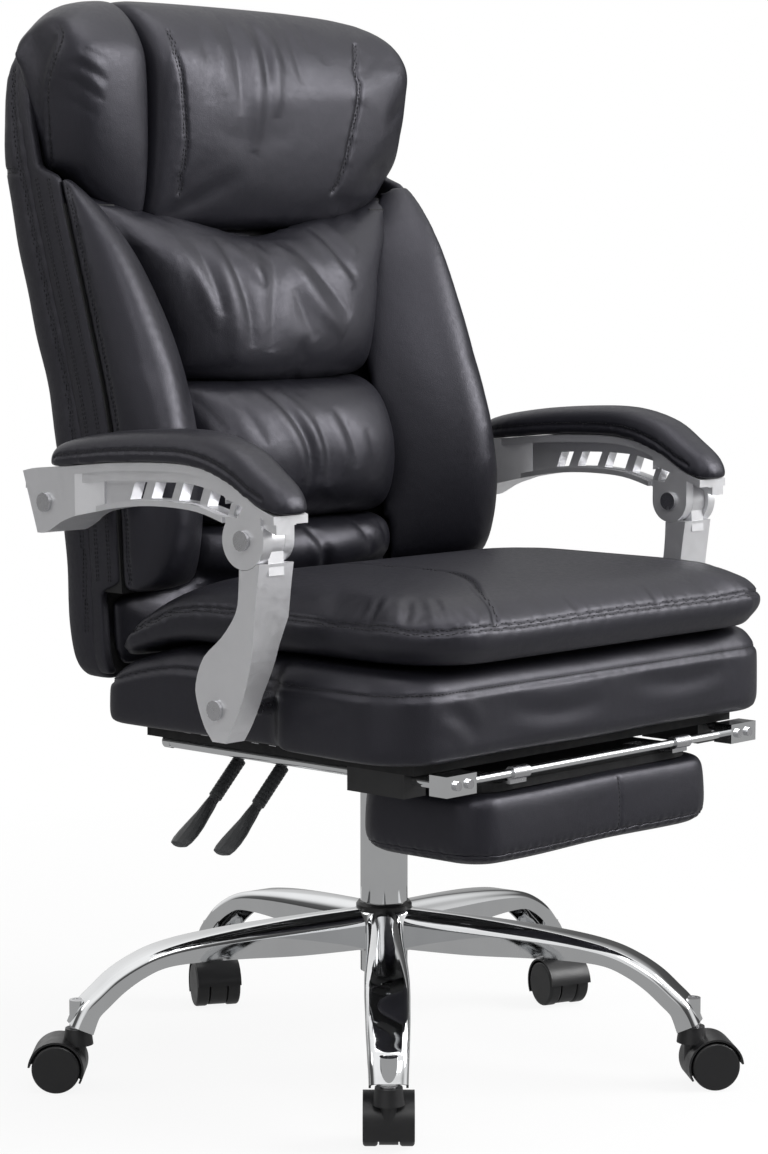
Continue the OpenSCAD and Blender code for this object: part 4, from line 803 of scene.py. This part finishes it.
# the pads between the bolsters, as (heights, half widths, depths)
UPPER = (
    [724, 730, 745, 775, 815, 855, 880, 908],
    [130, 136, 140, 148, 164, 186, 208, 228],
    [28, 46, 64, 78, 84, 80, 72, 60],
)
LUMBAR = (
    [574, 582, 600, 630, 660, 690, 708, 718, 723],
    [127, 134, 136, 136, 136, 136, 135, 131, 124],
    [42, 60, 76, 88, 90, 82, 68, 50, 34],
)
LOWER = (
    [433, 445, 480, 500, 509, 516, 530, 550, 564, 571],
    [226, 234, 236, 234, 200, 138, 138, 137, 134, 126],
    [15, 23, 25, 26, 30, 44, 62, 68, 60, 42],
)
UPPER_SAG, UPPER_HUNG, UPPER_GAP = 9, 830, 6
PAD_WIDER, PAD_FLATTER, PAD_SQUARE = 9, 3, 3.3  # so much beside the tables, and how square the section is
UPPER_FOLDS = [
    (((-92, 876), (-93, 835), (-89, 785), (-86, 735)), 2.9, 14.3),
    (((-82, 872), (-78, 835), (-71, 798), (-68, 755)), -3.3, 10.4),
    (((-69, 868), (-57, 845), (-41, 820)), 2.2, 10.4),
    (((-149, 872), (-152, 835), (-155, 804), (-157, 770)), 2.4, 13.0),
    (((-140, 876), (-133, 843), (-121, 812), (-111, 772)), 2.2, 10.4),
    (((-118, 872), (-112, 835), (-104, 790)), -2.6, 9.1),
    (((-186, 862), (-182, 820), (-180, 780)), -2.3, 11.7),
    (((8, 886), (6, 856), (14, 832), (35, 800), (72, 768)), 3.0, 13.0),
    (((22, 876), (37, 845), (59, 816), (83, 786)), -3.3, 10.4),
    (((67, 896), (69, 872), (76, 845), (95, 816)), 2.7, 10.4),
    (((80, 884), (90, 851), (103, 828)), -3.0, 7.8),
    (((-2, 820), (8, 789), (24, 762)), -2.3, 10.4),
    (((-8, 876), (-23, 835), (-37, 795), (-42, 750)), -3.0, 13.0),
    (((-197, 884), (-189, 855), (-184, 830)), -2.2, 7.8),
    (((100, 900), (112, 872), (124, 856)), 1.9, 10.4),
    (((-30, 880), (-44, 850), (-52, 820)), 1.7, 10.4),
    (((-120, 752), (-60, 742), (0, 740), (60, 748)), 1.9, 15.6),
]
LUMBAR_FOLDS = [
    (((-60, 714), (-43, 686), (-30, 657), (-25, 622), (-24, 594)), -3.8, 8.8),
    (((-76, 714), (-53, 681), (-41, 652), (-36, 615)), 2.4, 11.2),
    (((-40, 712), (-24, 680), (-13, 650), (-11, 620)), 2.5, 8.8),
    (((25, 692), (39, 659), (46, 626)), -2.2, 10.0),
    (((-10, 682), (0, 645), (4, 608)), -2.4, 8.8),
    (((-142, 716), (-132, 689), (-122, 665)), -2.2, 10.0),
    (((-106, 708), (-95, 683), (-85, 655)), -2.0, 8.8),
    (((64, 668), (74, 640), (78, 612)), -1.7, 10.0),
    (((14, 690), (22, 655), (27, 620)), 1.7, 10.0),
]
LOWER_FOLDS = [
    (((-8, 568), (8, 540), (23, 505)), -3.2, 8.4),
    (((65, 572), (78, 552), (90, 530)), -2.9, 8.4),
    (((12, 548), (19, 512)), -2.1, 7.2),
    (((-22, 566), (-6, 538), (8, 506)), 2.1, 8.4),
    (((-64, 566), (-54, 536)), -2.1, 9.6),
    (((110, 568), (118, 540)), -1.9, 8.4),
]


def centre_pad(name, shape, folds):
    rise, half, depth = shape
    z = np.linspace(rise[0], rise[-1], 60)
    half_at = table([(a, b + PAD_WIDER) for a, b in zip(rise, half)], z)
    depth_at = table([(a, b - PAD_FLATTER) for a, b in zip(rise, depth)], z)
    ob = loft(name + "_cover", [half_ring(h, float(board_y(q)) - PAD_GAP, -max(d, 2), q, 72, PAD_SQUARE)
                                for h, d, q in zip(half_at, depth_at, z)])
    co = coords(ob) / MM
    z = co[:, 2].copy()
    if name == "upper_pad":
        # its lower edge sags, and its top follows the headrest's lower edge
        near = np.clip(1 - (z - rise[0]) / 70, 0, 1)
        z -= UPPER_SAG * near * np.maximum(0, 1 - (co[:, 0] / half[0]) ** 2)
        hung = (head_low(co[:, 0]) + UPPER_GAP - UPPER_HUNG) / (rise[-1] - UPPER_HUNG)
        z = np.where(z > UPPER_HUNG, UPPER_HUNG + (z - UPPER_HUNG) * hung, z)
    co[:, 1] += board_y(z) - board_y(co[:, 2])
    co[:, 2] = z
    set_coords(ob, co * MM)

    def held(co):
        return (co[:, 1] > board_y(co[:, 2]) - 14) * 1.0
    puffed(ob, held, voxel=0.0045, grow=0.006, calm=6)
    folded(ob, folds)
    give(ob, "leather", "back")
    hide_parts(name)


SHELL_RISE = [
    0, 0.018, 0.05, 0.12, 0.19, 0.251, 0.3, 0.34, 0.37, 0.4, 0.452, 0.55, 0.65, 0.75, 0.83, 0.885, 0.93,
    0.962, 0.985, 1]
SHELL_WIDTH = [
    0.95, 0.985, 1, 1, 1, 1, 1, 1, 1, 1, 1, 1, 1, 0.995, 0.98, 0.955, 0.9, 0.825, 0.73, 0.61]
SHELL_DEPTH = [
    0.8, 0.88, 0.92, 0.94, 0.95, 0.95, 0.96, 0.97, 0.98, 0.99, 1, 1, 0.98, 0.9, 0.76, 0.64, 0.52, 0.4,
    0.3, 0.2]
SHELL_THICK, SHELL_SQUARE, SHELL_SIDE, SHELL_SEAM, SHELL_SEAM_HALF = 75.5, 5.2, 275, 944, 268


def shell_half(z):
    return BACK_HW * table(list(zip(SHELL_RISE, SHELL_WIDTH)), (np.asarray(z, float) - BACK_Z) / BACK_H)


def back_shell():
    rings = []
    depth = table(list(zip(SHELL_RISE, SHELL_DEPTH)), eased(0, 1, 90))
    for z, d in zip(eased(BACK_Z, BACK_Z + BACK_H, 90), depth):
        rings.append(half_ring(float(shell_half(z)), float(board_y(z)) + 0.3, SHELL_THICK * d, z, 72,
                               SHELL_SQUARE, 24))
    ob = loft("back_shell_cover", rings)
    skinned(ob, 0.007)
    swollen(ob, lambda x, y, z: (np.sin(z * 31 + 1) * np.sin(x * 17 + z * 9)
                                 + 0.6 * np.sin(z * 67 + x * 23)), 0.0009)
    tree = surface(ob)
    rise = np.linspace(470, 1060, 70)
    lines = [laid_on(tree, [(side * SHELL_SIDE, float(board_y(q)) + 14, q) for q in rise])[0]
             for side in (-1, 1)]
    across = []
    for a in np.linspace(0, 1, 90):
        bow = math.sin(math.pi * a)
        across.append((SHELL_SEAM_HALF * (2 * a - 1), float(board_y(SHELL_SEAM)) + 20 + 70 * min(1, bow * 3),
                       SHELL_SEAM - 6 * (1 - min(1, bow * 4))))
    across = laid_on(tree, across)[0]
    for line in lines:
        sewn(ob, line, 2.4, 3, 0.5, 10, 26)
    sewn(ob, across, 2.2, 2.6, 0.5, 12, 24)
    give(ob, "leather_dark", "back")
    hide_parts("back_shell")
    threaded("back_shell_stitches", ob, lines + [across], (-2.5, 2.5))


def side_gusset(side, name):
    """The cloth strip over the wooden side frame, and over the board's lower end."""
    rings = []
    for z in np.linspace(427, 1072, 90):
        y, hw = float(board_y(z)), float(shell_half(z)) - 1.6
        deep = SIDE_DEPTH - 1 if 514 < z < 935 else 10
        ring = [(-14, 13), (0, 13), (0.6, -deep * 0.2), (0.9, -deep * 0.5), (0.5, -deep * 0.85),
                (-1.5, -deep), (-14, -deep)]
        rings.append([(side * (hw + a), y + b, z) for a, b in ring])
    ob = loft("side_gusset_" + name, rings)
    subdivided(ob)
    give(ob, "leather_dark", "back")
    for off, tag in ((-6, "rear"), (-25, "front")):
        line = [(side * SHELL_SIDE, float(board_y(q)) + off, q) for q in np.linspace(524, 930, 90)]
        threaded("gusset_%s_%s_stitches" % (name, tag), ob, [line], (-1.6, 1.6))


def plan_ring(hw, front, rear, rf, rr, n=12):
    """A cushion's outline from above, with corner radii rf in front and rr behind."""
    corners = []
    for x, y, r, start in ((hw - rf, front + rf, rf, -90), (hw - rr, rear - rr, rr, 0),
                           (rr - hw, rear - rr, rr, 90), (rf - hw, front + rf, rf, 180)):
        a = np.radians(start + 90 * np.arange(n + 1) / n)
        corners.append(np.stack([x + r * np.cos(a), y + r * np.sin(a)], 1))
    t = between(0, 1, 16)[:, None]
    parts = []
    for corner, after in zip(corners, corners[1:] + corners[:1]):
        parts += [corner, corner[-1] + (after[0] - corner[-1]) * t]
    return np.concatenate(parts)


def raised(plan, z):
    """The plan's points at height z, one number or one for each."""
    return np.stack([plan[:, 0], plan[:, 1], np.broadcast_to(z, len(plan))], 1)


SEAT_HW, SEAT_SIDE, SEAT_FRONT, SEAT_REAR = 291, 274, -300, 139
STEP_Y, STEP_RUN = -120, 14  # behind the step the seat is narrower, between the arm posts
BASE_Z, BASE_H, BASE_IN, BASE_SEAM = 380.3, 88, 33, 66
BASE_ROUND = [(0, 0.30), (0.03, 0.1), (0.07, 0.04), (0.14, 0), (0.4, 0), (0.70, 0), (0.765, 0.09),
              (0.86, 0.22), (0.94, 0.42), (0.985, 0.68), (1, 0.95)]
SEAT_CREASES = [
    (((-150, -300, 425), (-80, -300, 415), (0, -300, 418)), 1.6, 9),
    (((40, -300, 432), (120, -300, 424), (200, -300, 430)), 1.6, 9),
    (((-290, -220, 430), (-290, -160, 420)), 1.4, 8),
    (((-240, -290, 436), (-210, -297, 420), (-190, -297, 400)), 1.5, 8),
]
LINING = ((-258, -266, 379.9), (258, 112, 380.5))
STAPLE_STEP, STAPLE_WIDE, STAPLE_TOP, STAPLE_LOW, STAPLE_R = 24, 9, 380, 379.2, 0.5


def base_fall(y):
    """The base is lower towards the back."""
    return 1 - 0.40 * np.maximum(0, (np.asarray(y, float) - 15) / (SEAT_REAR - 15)) ** 1.6


def stepped(plan):
    t = np.clip((plan[:, 1] - (STEP_Y - STEP_RUN)) / STEP_RUN, 0, 1)
    t = t * t * (3 - 2 * t)
    return plan * np.stack([1 - t * (1 - SEAT_SIDE / SEAT_HW), np.ones(len(t))], 1)


def seat_base():
    fine = np.linspace(0, 1, 36)
    rings = []
    for up, d in zip(fine, np.maximum(0, np.interp(fine, *smooth_through(BASE_ROUND, 6).T) * BASE_IN)):
        plan = plan_ring(SEAT_HW - d, SEAT_FRONT + d, SEAT_REAR - d, 64 - d, 24 - d / 2)
        rings.append(raised(stepped(plan), BASE_Z + BASE_H * up * base_fall(plan[:, 1])))
    ob = loft("seat_base_cover", rings)
    skinned(ob, 0.006)
    tree = surface(ob)
    plan = plan_ring(SEAT_HW, SEAT_FRONT, SEAT_REAR, 66, 30, 30)
    seam = loop_on(tree, raised(stepped(plan), BASE_Z + BASE_SEAM * base_fall(plan[:, 1])))
    sewn(ob, seam, 2.0, 2.8, 0.2, 14, 21)
    swollen(ob, lambda x, y, z: np.sin(x * 23 + 2) * np.sin(y * 19 + z * 33), 0.0008)
    creased(ob, tree, SEAT_CREASES, 0.6)
    give(ob, "leather", "seat")
    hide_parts("seat_base")
    threaded("seat_base_stitches", ob, [seam], (-2.6,), "seat")


def staple(x, y, dx, dy):
    a, b = (x, y), (x + dx, y + dy)
    return tube([(*a, STAPLE_TOP), (*a, STAPLE_LOW), (*b, STAPLE_LOW), (*b, STAPLE_TOP)], STAPLE_R, 6)


def seat_lining():
    """Black lining under the seat with its staples."""
    give(joined("seat_lining", [box_part(*LINING)]), "lining", "seat")
    staples = [staple(side * 256, y, 0, STAPLE_WIDE)
               for side in (-1, 1) for y in np.arange(-240, 112, STAPLE_STEP)]
    staples += [staple(x, -262, STAPLE_WIDE, 0) for x in np.arange(-220, 221, STAPLE_STEP)]
    give(joined("staples", staples), "steel", "seat")


def box_part(low, high):
    (a, b, c), (d, e, f) = low, high
    v = [(a, b, c), (d, b, c), (d, e, c), (a, e, c), (a, b, f), (d, b, f), (d, e, f), (a, e, f)]
    return v, [(0, 3, 2, 1), (4, 5, 6, 7), (0, 1, 5, 4), (1, 2, 6, 5), (2, 3, 7, 6), (3, 0, 4, 7)]


CUSHION_HW, CUSHION_FRONT, CUSHION_REAR, CUSHION_H = 279, -327, 127, 66
CUSHION_IN, CUSHION_CORNER, CUSHION_SEAM = 200, 78, 44
CUSHION_ROUND = [(0, 0.20), (0.04, 0.10), (0.12, 0.04), (0.24, 0.01), (0.36, 0), (0.48, 0.006), (0.56, 0.018),
                 (0.66, 0.05), (0.77, 0.11), (0.86, 0.21), (0.93, 0.37), (0.98, 0.62), (1, 0.92)]
CUSHION_LEFT = [(-183, -318, 515), (-158, -272, 535), (-116, -222, 545), (-90, -180, 545), (-84, -140, 545),
                (-88, -60, 540), (-92, 40, 520)]
CUSHION_RIGHT = [(232, -300, 515), (222, -262, 530), (206, -220, 540), (196, -170, 545), (190, -60, 540),
                 (186, 40, 520)]
CUSHION_CREASES = [
    (((-266, -272, 508), (-250, -264, 524), (-232, -246, 536)), 1.4, 4),
    (((-240, -300, 508), (-228, -284, 526), (-214, -262, 538)), 1.3, 4),
    (((-270, -232, 508), (-252, -226, 526), (-236, -216, 536)), 1.2, 4),
    (((-212, -314, 510), (-206, -294, 528)), 1.1, 4),
    (((240, -254, 515), (218, -238, 536)), 1.2, 5),
    (((-60, -322, 508), (-62, -296, 530)), 0.9, 6),
    (((60, -322, 508), (64, -294, 530)), 0.9, 6),
    (((-256, -60, 515), (-232, -50, 534)), 1.2, 6),
]


def cushion_fall(y):
    """The cushion is thinner towards the back."""
    return 1 - 0.62 * np.maximum(0, (np.asarray(y, float) + 60) / 182) ** 2


def cushion_bed(y):
    return BASE_Z + 1.7 + BASE_H * base_fall(y)


def seat_cushion():
    rings = []
    for up, share in smooth_through(CUSHION_ROUND, 5):
        d, r = CUSHION_IN * share, CUSHION_CORNER * (1 - share * 0.8)
        plan = plan_ring(CUSHION_HW - d, CUSHION_FRONT + d, CUSHION_REAR - d, r, r * 0.45)
        y = plan[:, 1]
        rings.append(raised(plan, cushion_bed(y) + 0.4 + CUSHION_H * up * cushion_fall(y)))
    ob = loft("seat_cushion_cover", rings)

    def held(co):
        return (co[:, 2] < cushion_bed(co[:, 1]) + 5) * 1.0
    puffed(ob, held, grow=0.004, calm=8)
    tree = surface(ob)
    plan = plan_ring(CUSHION_HW - 14, CUSHION_FRONT + 14, CUSHION_REAR - 14, 66, 50, 30)
    rim = loop_on(tree, raised(plan * 1.05, cushion_bed(plan[:, 1]) + CUSHION_SEAM * cushion_fall(plan[:, 1])))
    sewn(ob, rim, 2.4, 3, 0.45, 18, 17)
    seams = [laid_on(tree, smooth_through(points, 10))[0] for points in (CUSHION_LEFT, CUSHION_RIGHT)]
    for line in seams:
        sewn(ob, line, 3.0, 4, 0.12, 16, 31)
    creased(ob, tree, CUSHION_CREASES, 0.5)
    give(ob, "leather", "seat")
    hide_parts("seat_cushion")
    threaded("seat_cushion_stitches", ob, [rim], (-2.8, 2.8), "seat")
    threaded("seat_cushion_top_stitches", ob, seams, (3.2,), "seat")


ARM_TOP = [(0, 0.79), (0.06, 0.84), (0.18, 0.88), (0.36, 0.96), (0.53, 1), (0.66, 1), (0.76, 0.93),
           (0.85, 0.78), (0.93, 0.57), (1, 0.45)]
ARM_X, ARM_HALF, ARM_FRONT, ARM_LONG, ARM_THICK = 322.5, 28.6, -193, 329, 32
ARM_SEAM, ARM_SEAM_UP = 40, 13  # beside the pad's middle and above the casting
ARM_SHARE = [0, 0.01, 0.04, 0.1, 0.18, 0.28, 0.42, 0.58, 0.74, 0.88, 0.96, 0.99, 1]
ARM_WIDTH = [0.3, 0.56, 0.8, 0.94, 1, 1, 0.98, 0.97, 0.97, 0.95, 0.85, 0.66, 0.4]
ARM_DEPTH = [0.25, 0.5, 0.8, 1, 1.08, 1.04, 1, 0.97, 0.93, 0.86, 0.72, 0.5, 0.28]


def arm_top(y):
    """The height of the casting's top, which the pad lies on."""
    line = smooth_through([(171 - 355 * a, 578 + 77 * b) for a, b in ARM_TOP], 6)[::-1]
    return np.interp(y, line[:, 0], line[:, 1])


def arm_pad(side, name):
    fine = eased(0, 1, 60)
    width = table(list(zip(ARM_SHARE, ARM_WIDTH)), fine)
    depth = table(list(zip(ARM_SHARE, ARM_DEPTH)), fine)
    a = np.linspace(-math.pi / 2, math.pi / 2, 36)
    rings = []
    for q, w, d in zip(fine, width, depth):
        y = ARM_FRONT + ARM_LONG * q
        low = arm_top(y) + PAD_GAP
        x = ARM_X + ARM_HALF * w * power(np.sin(a), 0.7)
        z = low + ARM_THICK * d * np.abs(np.cos(a)) ** 0.62
        flat = between(x[-1], x[0], 8)
        ring = np.stack([np.append(x, flat), np.full(44, y), np.append(z, np.full(8, low))], 1)
        rings.append(ring * [side, 1, 1])
    ob = loft(name + "_cover", rings)
    skinned(ob, 0.0035, 3)
    tree = surface(ob)
    along = np.linspace(-172, 128, 90)
    lines = [laid_on(tree, [(side * (ARM_X + off), q, float(arm_top(q)) + ARM_SEAM_UP) for q in along])[0]
             for off in (-ARM_SEAM, ARM_SEAM)]
    for line in lines:
        sewn(ob, line, 1.5, 2, 0.3, 8, 14)
    body = "arm_" + ("right" if side < 0 else "left")
    give(ob, "leather", body)
    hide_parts(name)
    threaded(name + "_stitches", ob, lines, (2.2,), body, length=2.6, pitch=4.0, radius=0.36)


FOOT_HW, FOOT_FRONT, FOOT_REAR, FOOT_TOP, FOOT_THICK = 187, -297, -124, 341.7, 73
FOOT_ROUND = [(1, 0.9), (0.985, 0.62), (0.955, 0.34), (0.90, 0.14), (0.82, 0.045), (0.70, 0), (0.40, 0),
              (0.12, 0.03), (0, 0.12)]
FOOT_IN, FOOT_SEAM = 60, 280


def footrest_pad():
    rings = []
    for down, share in smooth_through(FOOT_ROUND, 6):
        d = FOOT_IN * share
        plan = plan_ring(FOOT_HW - d, FOOT_FRONT + d, FOOT_REAR - d, 36 - d * 0.5, 46 - d * 0.6)
        rings.append(raised(plan, FOOT_TOP - FOOT_THICK * down))
    ob = loft("footrest_pad_cover", rings)
    skinned(ob, 0.0045)
    tree = surface(ob)
    seam = loop_on(tree, raised(plan_ring(FOOT_HW, FOOT_FRONT, FOOT_REAR, 36, 46, 30), FOOT_SEAM))
    sewn(ob, seam, 1.8, 2.2, 0.7, 12, 11)
    up = laid_on(tree, [(28, FOOT_FRONT - 10, z) for z in np.linspace(341, 281, 24)])[0]
    sewn(ob, up, 1.6, 2, 0.3, 8, 12)
    swollen(ob, lambda x, y, z: np.sin(x * 27 + 1) * np.sin(y * 23 + z * 41), 0.0008)
    give(ob, "leather", "footrest_flip")
    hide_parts("footrest_pad")
    cord = give(piping("footrest_piping", ob, seam[:-1]), "leather", "footrest_flip")
    thread = threaded("footrest_stitches", ob, [up], (2.4,), "footrest_flip")
    # each piece gets a mesh of its own; the pad is not folded here, though folded up while the rails are in it
    # lies against the seat's padded front
    for piece in (ob, cord, thread):
        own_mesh(piece)


# Rigid pieces that keep the solids' shapes, with finishes and smooth shading below a sharp angle

FINISH = {
    "chrome": ["column_tube", "footrest_rails", "rail_clamps", "crossbar"],
    "silver": ["arm_frame_right", "arm_frame_left", "arm_post_right", "arm_post_left"],
    "steel": ["caster_stems", "thrust_bearing", "piston_rod", "mechanism_pins", "post_bolts", "arm_rear_bolts",
              "knuckle_bolt_right", "knuckle_bolt_left", "clamp_screws", "mechanism_screws", "bracket_bolts",
              "valve_button", "footrest_hinges", "height_lever_rod", "recline_lever_rod"],
    "black_steel": ["gas_cylinder", "mechanism_housing", "rail_guides", "back_bracket"],
    "black_plastic": ["column_ring", "column_bush"] + ["caster_hood_%d" % k for k in range(1, 6)]
                     + ["caster_wheels_%d" % k for k in range(1, 6)],
    "grip": ["height_lever_sleeve", "height_lever_grip", "recline_lever_sleeve", "recline_lever_grip"],
    "lining": ["seat_board", "back_board", "footrest_board"],
}


def finish_solids():
    for material, names in FINISH.items():
        for name in names:
            ob = NODES[name]
            ob.data.materials.clear()
            ob.data.materials.append(MAT[material])
            ob.data.shade_smooth()
            ob.data.set_sharp_from_angle(angle=math.radians(32))


BASE_R, BASE_TOP, LEG_W, LEG_WALL, BASE_TURN = 332, 166, 45, 2.2, 223.9
# along a leg: (run as a share of BASE_R, height of BASE_TOP, depth and width of LEG_W)
LEG = [(0.072, 1.006, 0.89, 0.84), (0.30, 0.976, 0.82, 0.89), (0.506, 0.937, 0.64, 0.96),
       (0.654, 0.895, 0.49, 1), (0.753, 0.849, 0.40, 1), (0.828, 0.789, 0.40, 0.98),
       (0.895, 0.711, 0.42, 0.96), (0.949, 0.620, 0.43, 0.92), (0.996, 0.530, 0.45, 0.88),
       (1.026, 0.410, 0.49, 0.85)]
SOCKET = [(5.6, 66), (8.9, 66), (8.9, 92.9), (5.6, 92.9)]
HUB = [(25.05, 124), (31.5, 124), (33, 125.5), (33, 163), (31.6, 165.4), (29, 166), (25.05, 166)]


def leg_section(w, h, r):
    """Half of a pressed leg's section: an open channel with a slightly crowned top."""
    a = np.radians(np.linspace(0, 90, 9))
    right = np.stack([w / 2 - r + r * np.cos(a), r * np.sin(a) - r], 1)
    left = np.stack([-(w / 2 - r + r * np.sin(a)), r * np.cos(a) - r], 1)
    crown = np.concatenate([[[w / 2, -h]], right, left, [[-w / 2, -h]]])
    crown[:, 1] += 1.1 * (1 - (2 * crown[:, 0] / w) ** 2) * (crown[:, 1] > -r)
    return crown


def star_base():
    """The five pressed legs again with finer sections, so that the chrome reflects smoothly."""
    path = smooth_through(np.array(LEG) * [BASE_R, BASE_TOP, LEG_W, LEG_W], 6)
    way = np.gradient(path[:, :2], axis=0)
    way /= np.linalg.norm(way, axis=1, keepdims=True)
    parts = []
    for k in range(5):
        t = math.radians(BASE_TURN + 72 * k)
        rings = []
        for (x, z, depth, w), d in zip(path, way):
            r = min(depth, w) * 0.4
            outer = leg_section(w, depth, r)
            inner = leg_section(w - 2 * LEG_WALL, depth - LEG_WALL, r - LEG_WALL)[::-1] - [0, LEG_WALL]
            inner[0, 1] = inner[-1, 1] = -depth
            across, up = np.concatenate([outer, inner]).T
            out, high = x - d[1] * up, z + d[0] * up
            rings.append(np.stack([out * math.cos(t) - across * math.sin(t),
                                   out * math.sin(t) + across * math.cos(t), high], 1))
        rings = np.array(rings)
        m, n = rings.shape[:2]
        faces = band(m, n)
        for e in (0, (m - 1) * n):
            faces += [(e + j, e + j + 1, e + n - 2 - j, e + n - 1 - j) for j in range(n // 2 - 1)]
        parts.append((rings.reshape(-1, 3), faces))
        parts.append(lathe((BASE_R * math.cos(t), BASE_R * math.sin(t)), SOCKET, 32))
    parts.append(lathe((0, 0), HUB, 96))
    ob = joined("star_base_shell", parts)
    ob.data.set_sharp_from_angle(angle=math.radians(34))
    give(ob, "chrome", "base")
    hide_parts("star_base")


def lathe(centre, profile, sides):
    """(verts, faces) of a closed ring-shaped profile turned round an upright axis, in millimetres."""
    verts = []
    for a in 2 * math.pi * np.arange(sides) / sides:
        verts += [(centre[0] + r * math.cos(a), centre[1] + r * math.sin(a), z) for r, z in profile]
    return verts, band(sides, len(profile), True)


make_camera()
make_world()
make_floor()
for lamp in LAMPS:
    area_light(*lamp)
make_materials()
finish_solids()
star_base()
headrest()
bolster(-1, "bolster_right")
bolster(1, "bolster_left")
centre_pad("upper_pad", UPPER, UPPER_FOLDS)
centre_pad("lumbar_pad", LUMBAR, LUMBAR_FOLDS)
centre_pad("lower_pad", LOWER, LOWER_FOLDS)
back_shell()
side_gusset(-1, "right")
side_gusset(1, "left")
seat_base()
seat_lining()
seat_cushion()
arm_pad(-1, "arm_pad_right")
arm_pad(1, "arm_pad_left")
footrest_pad()
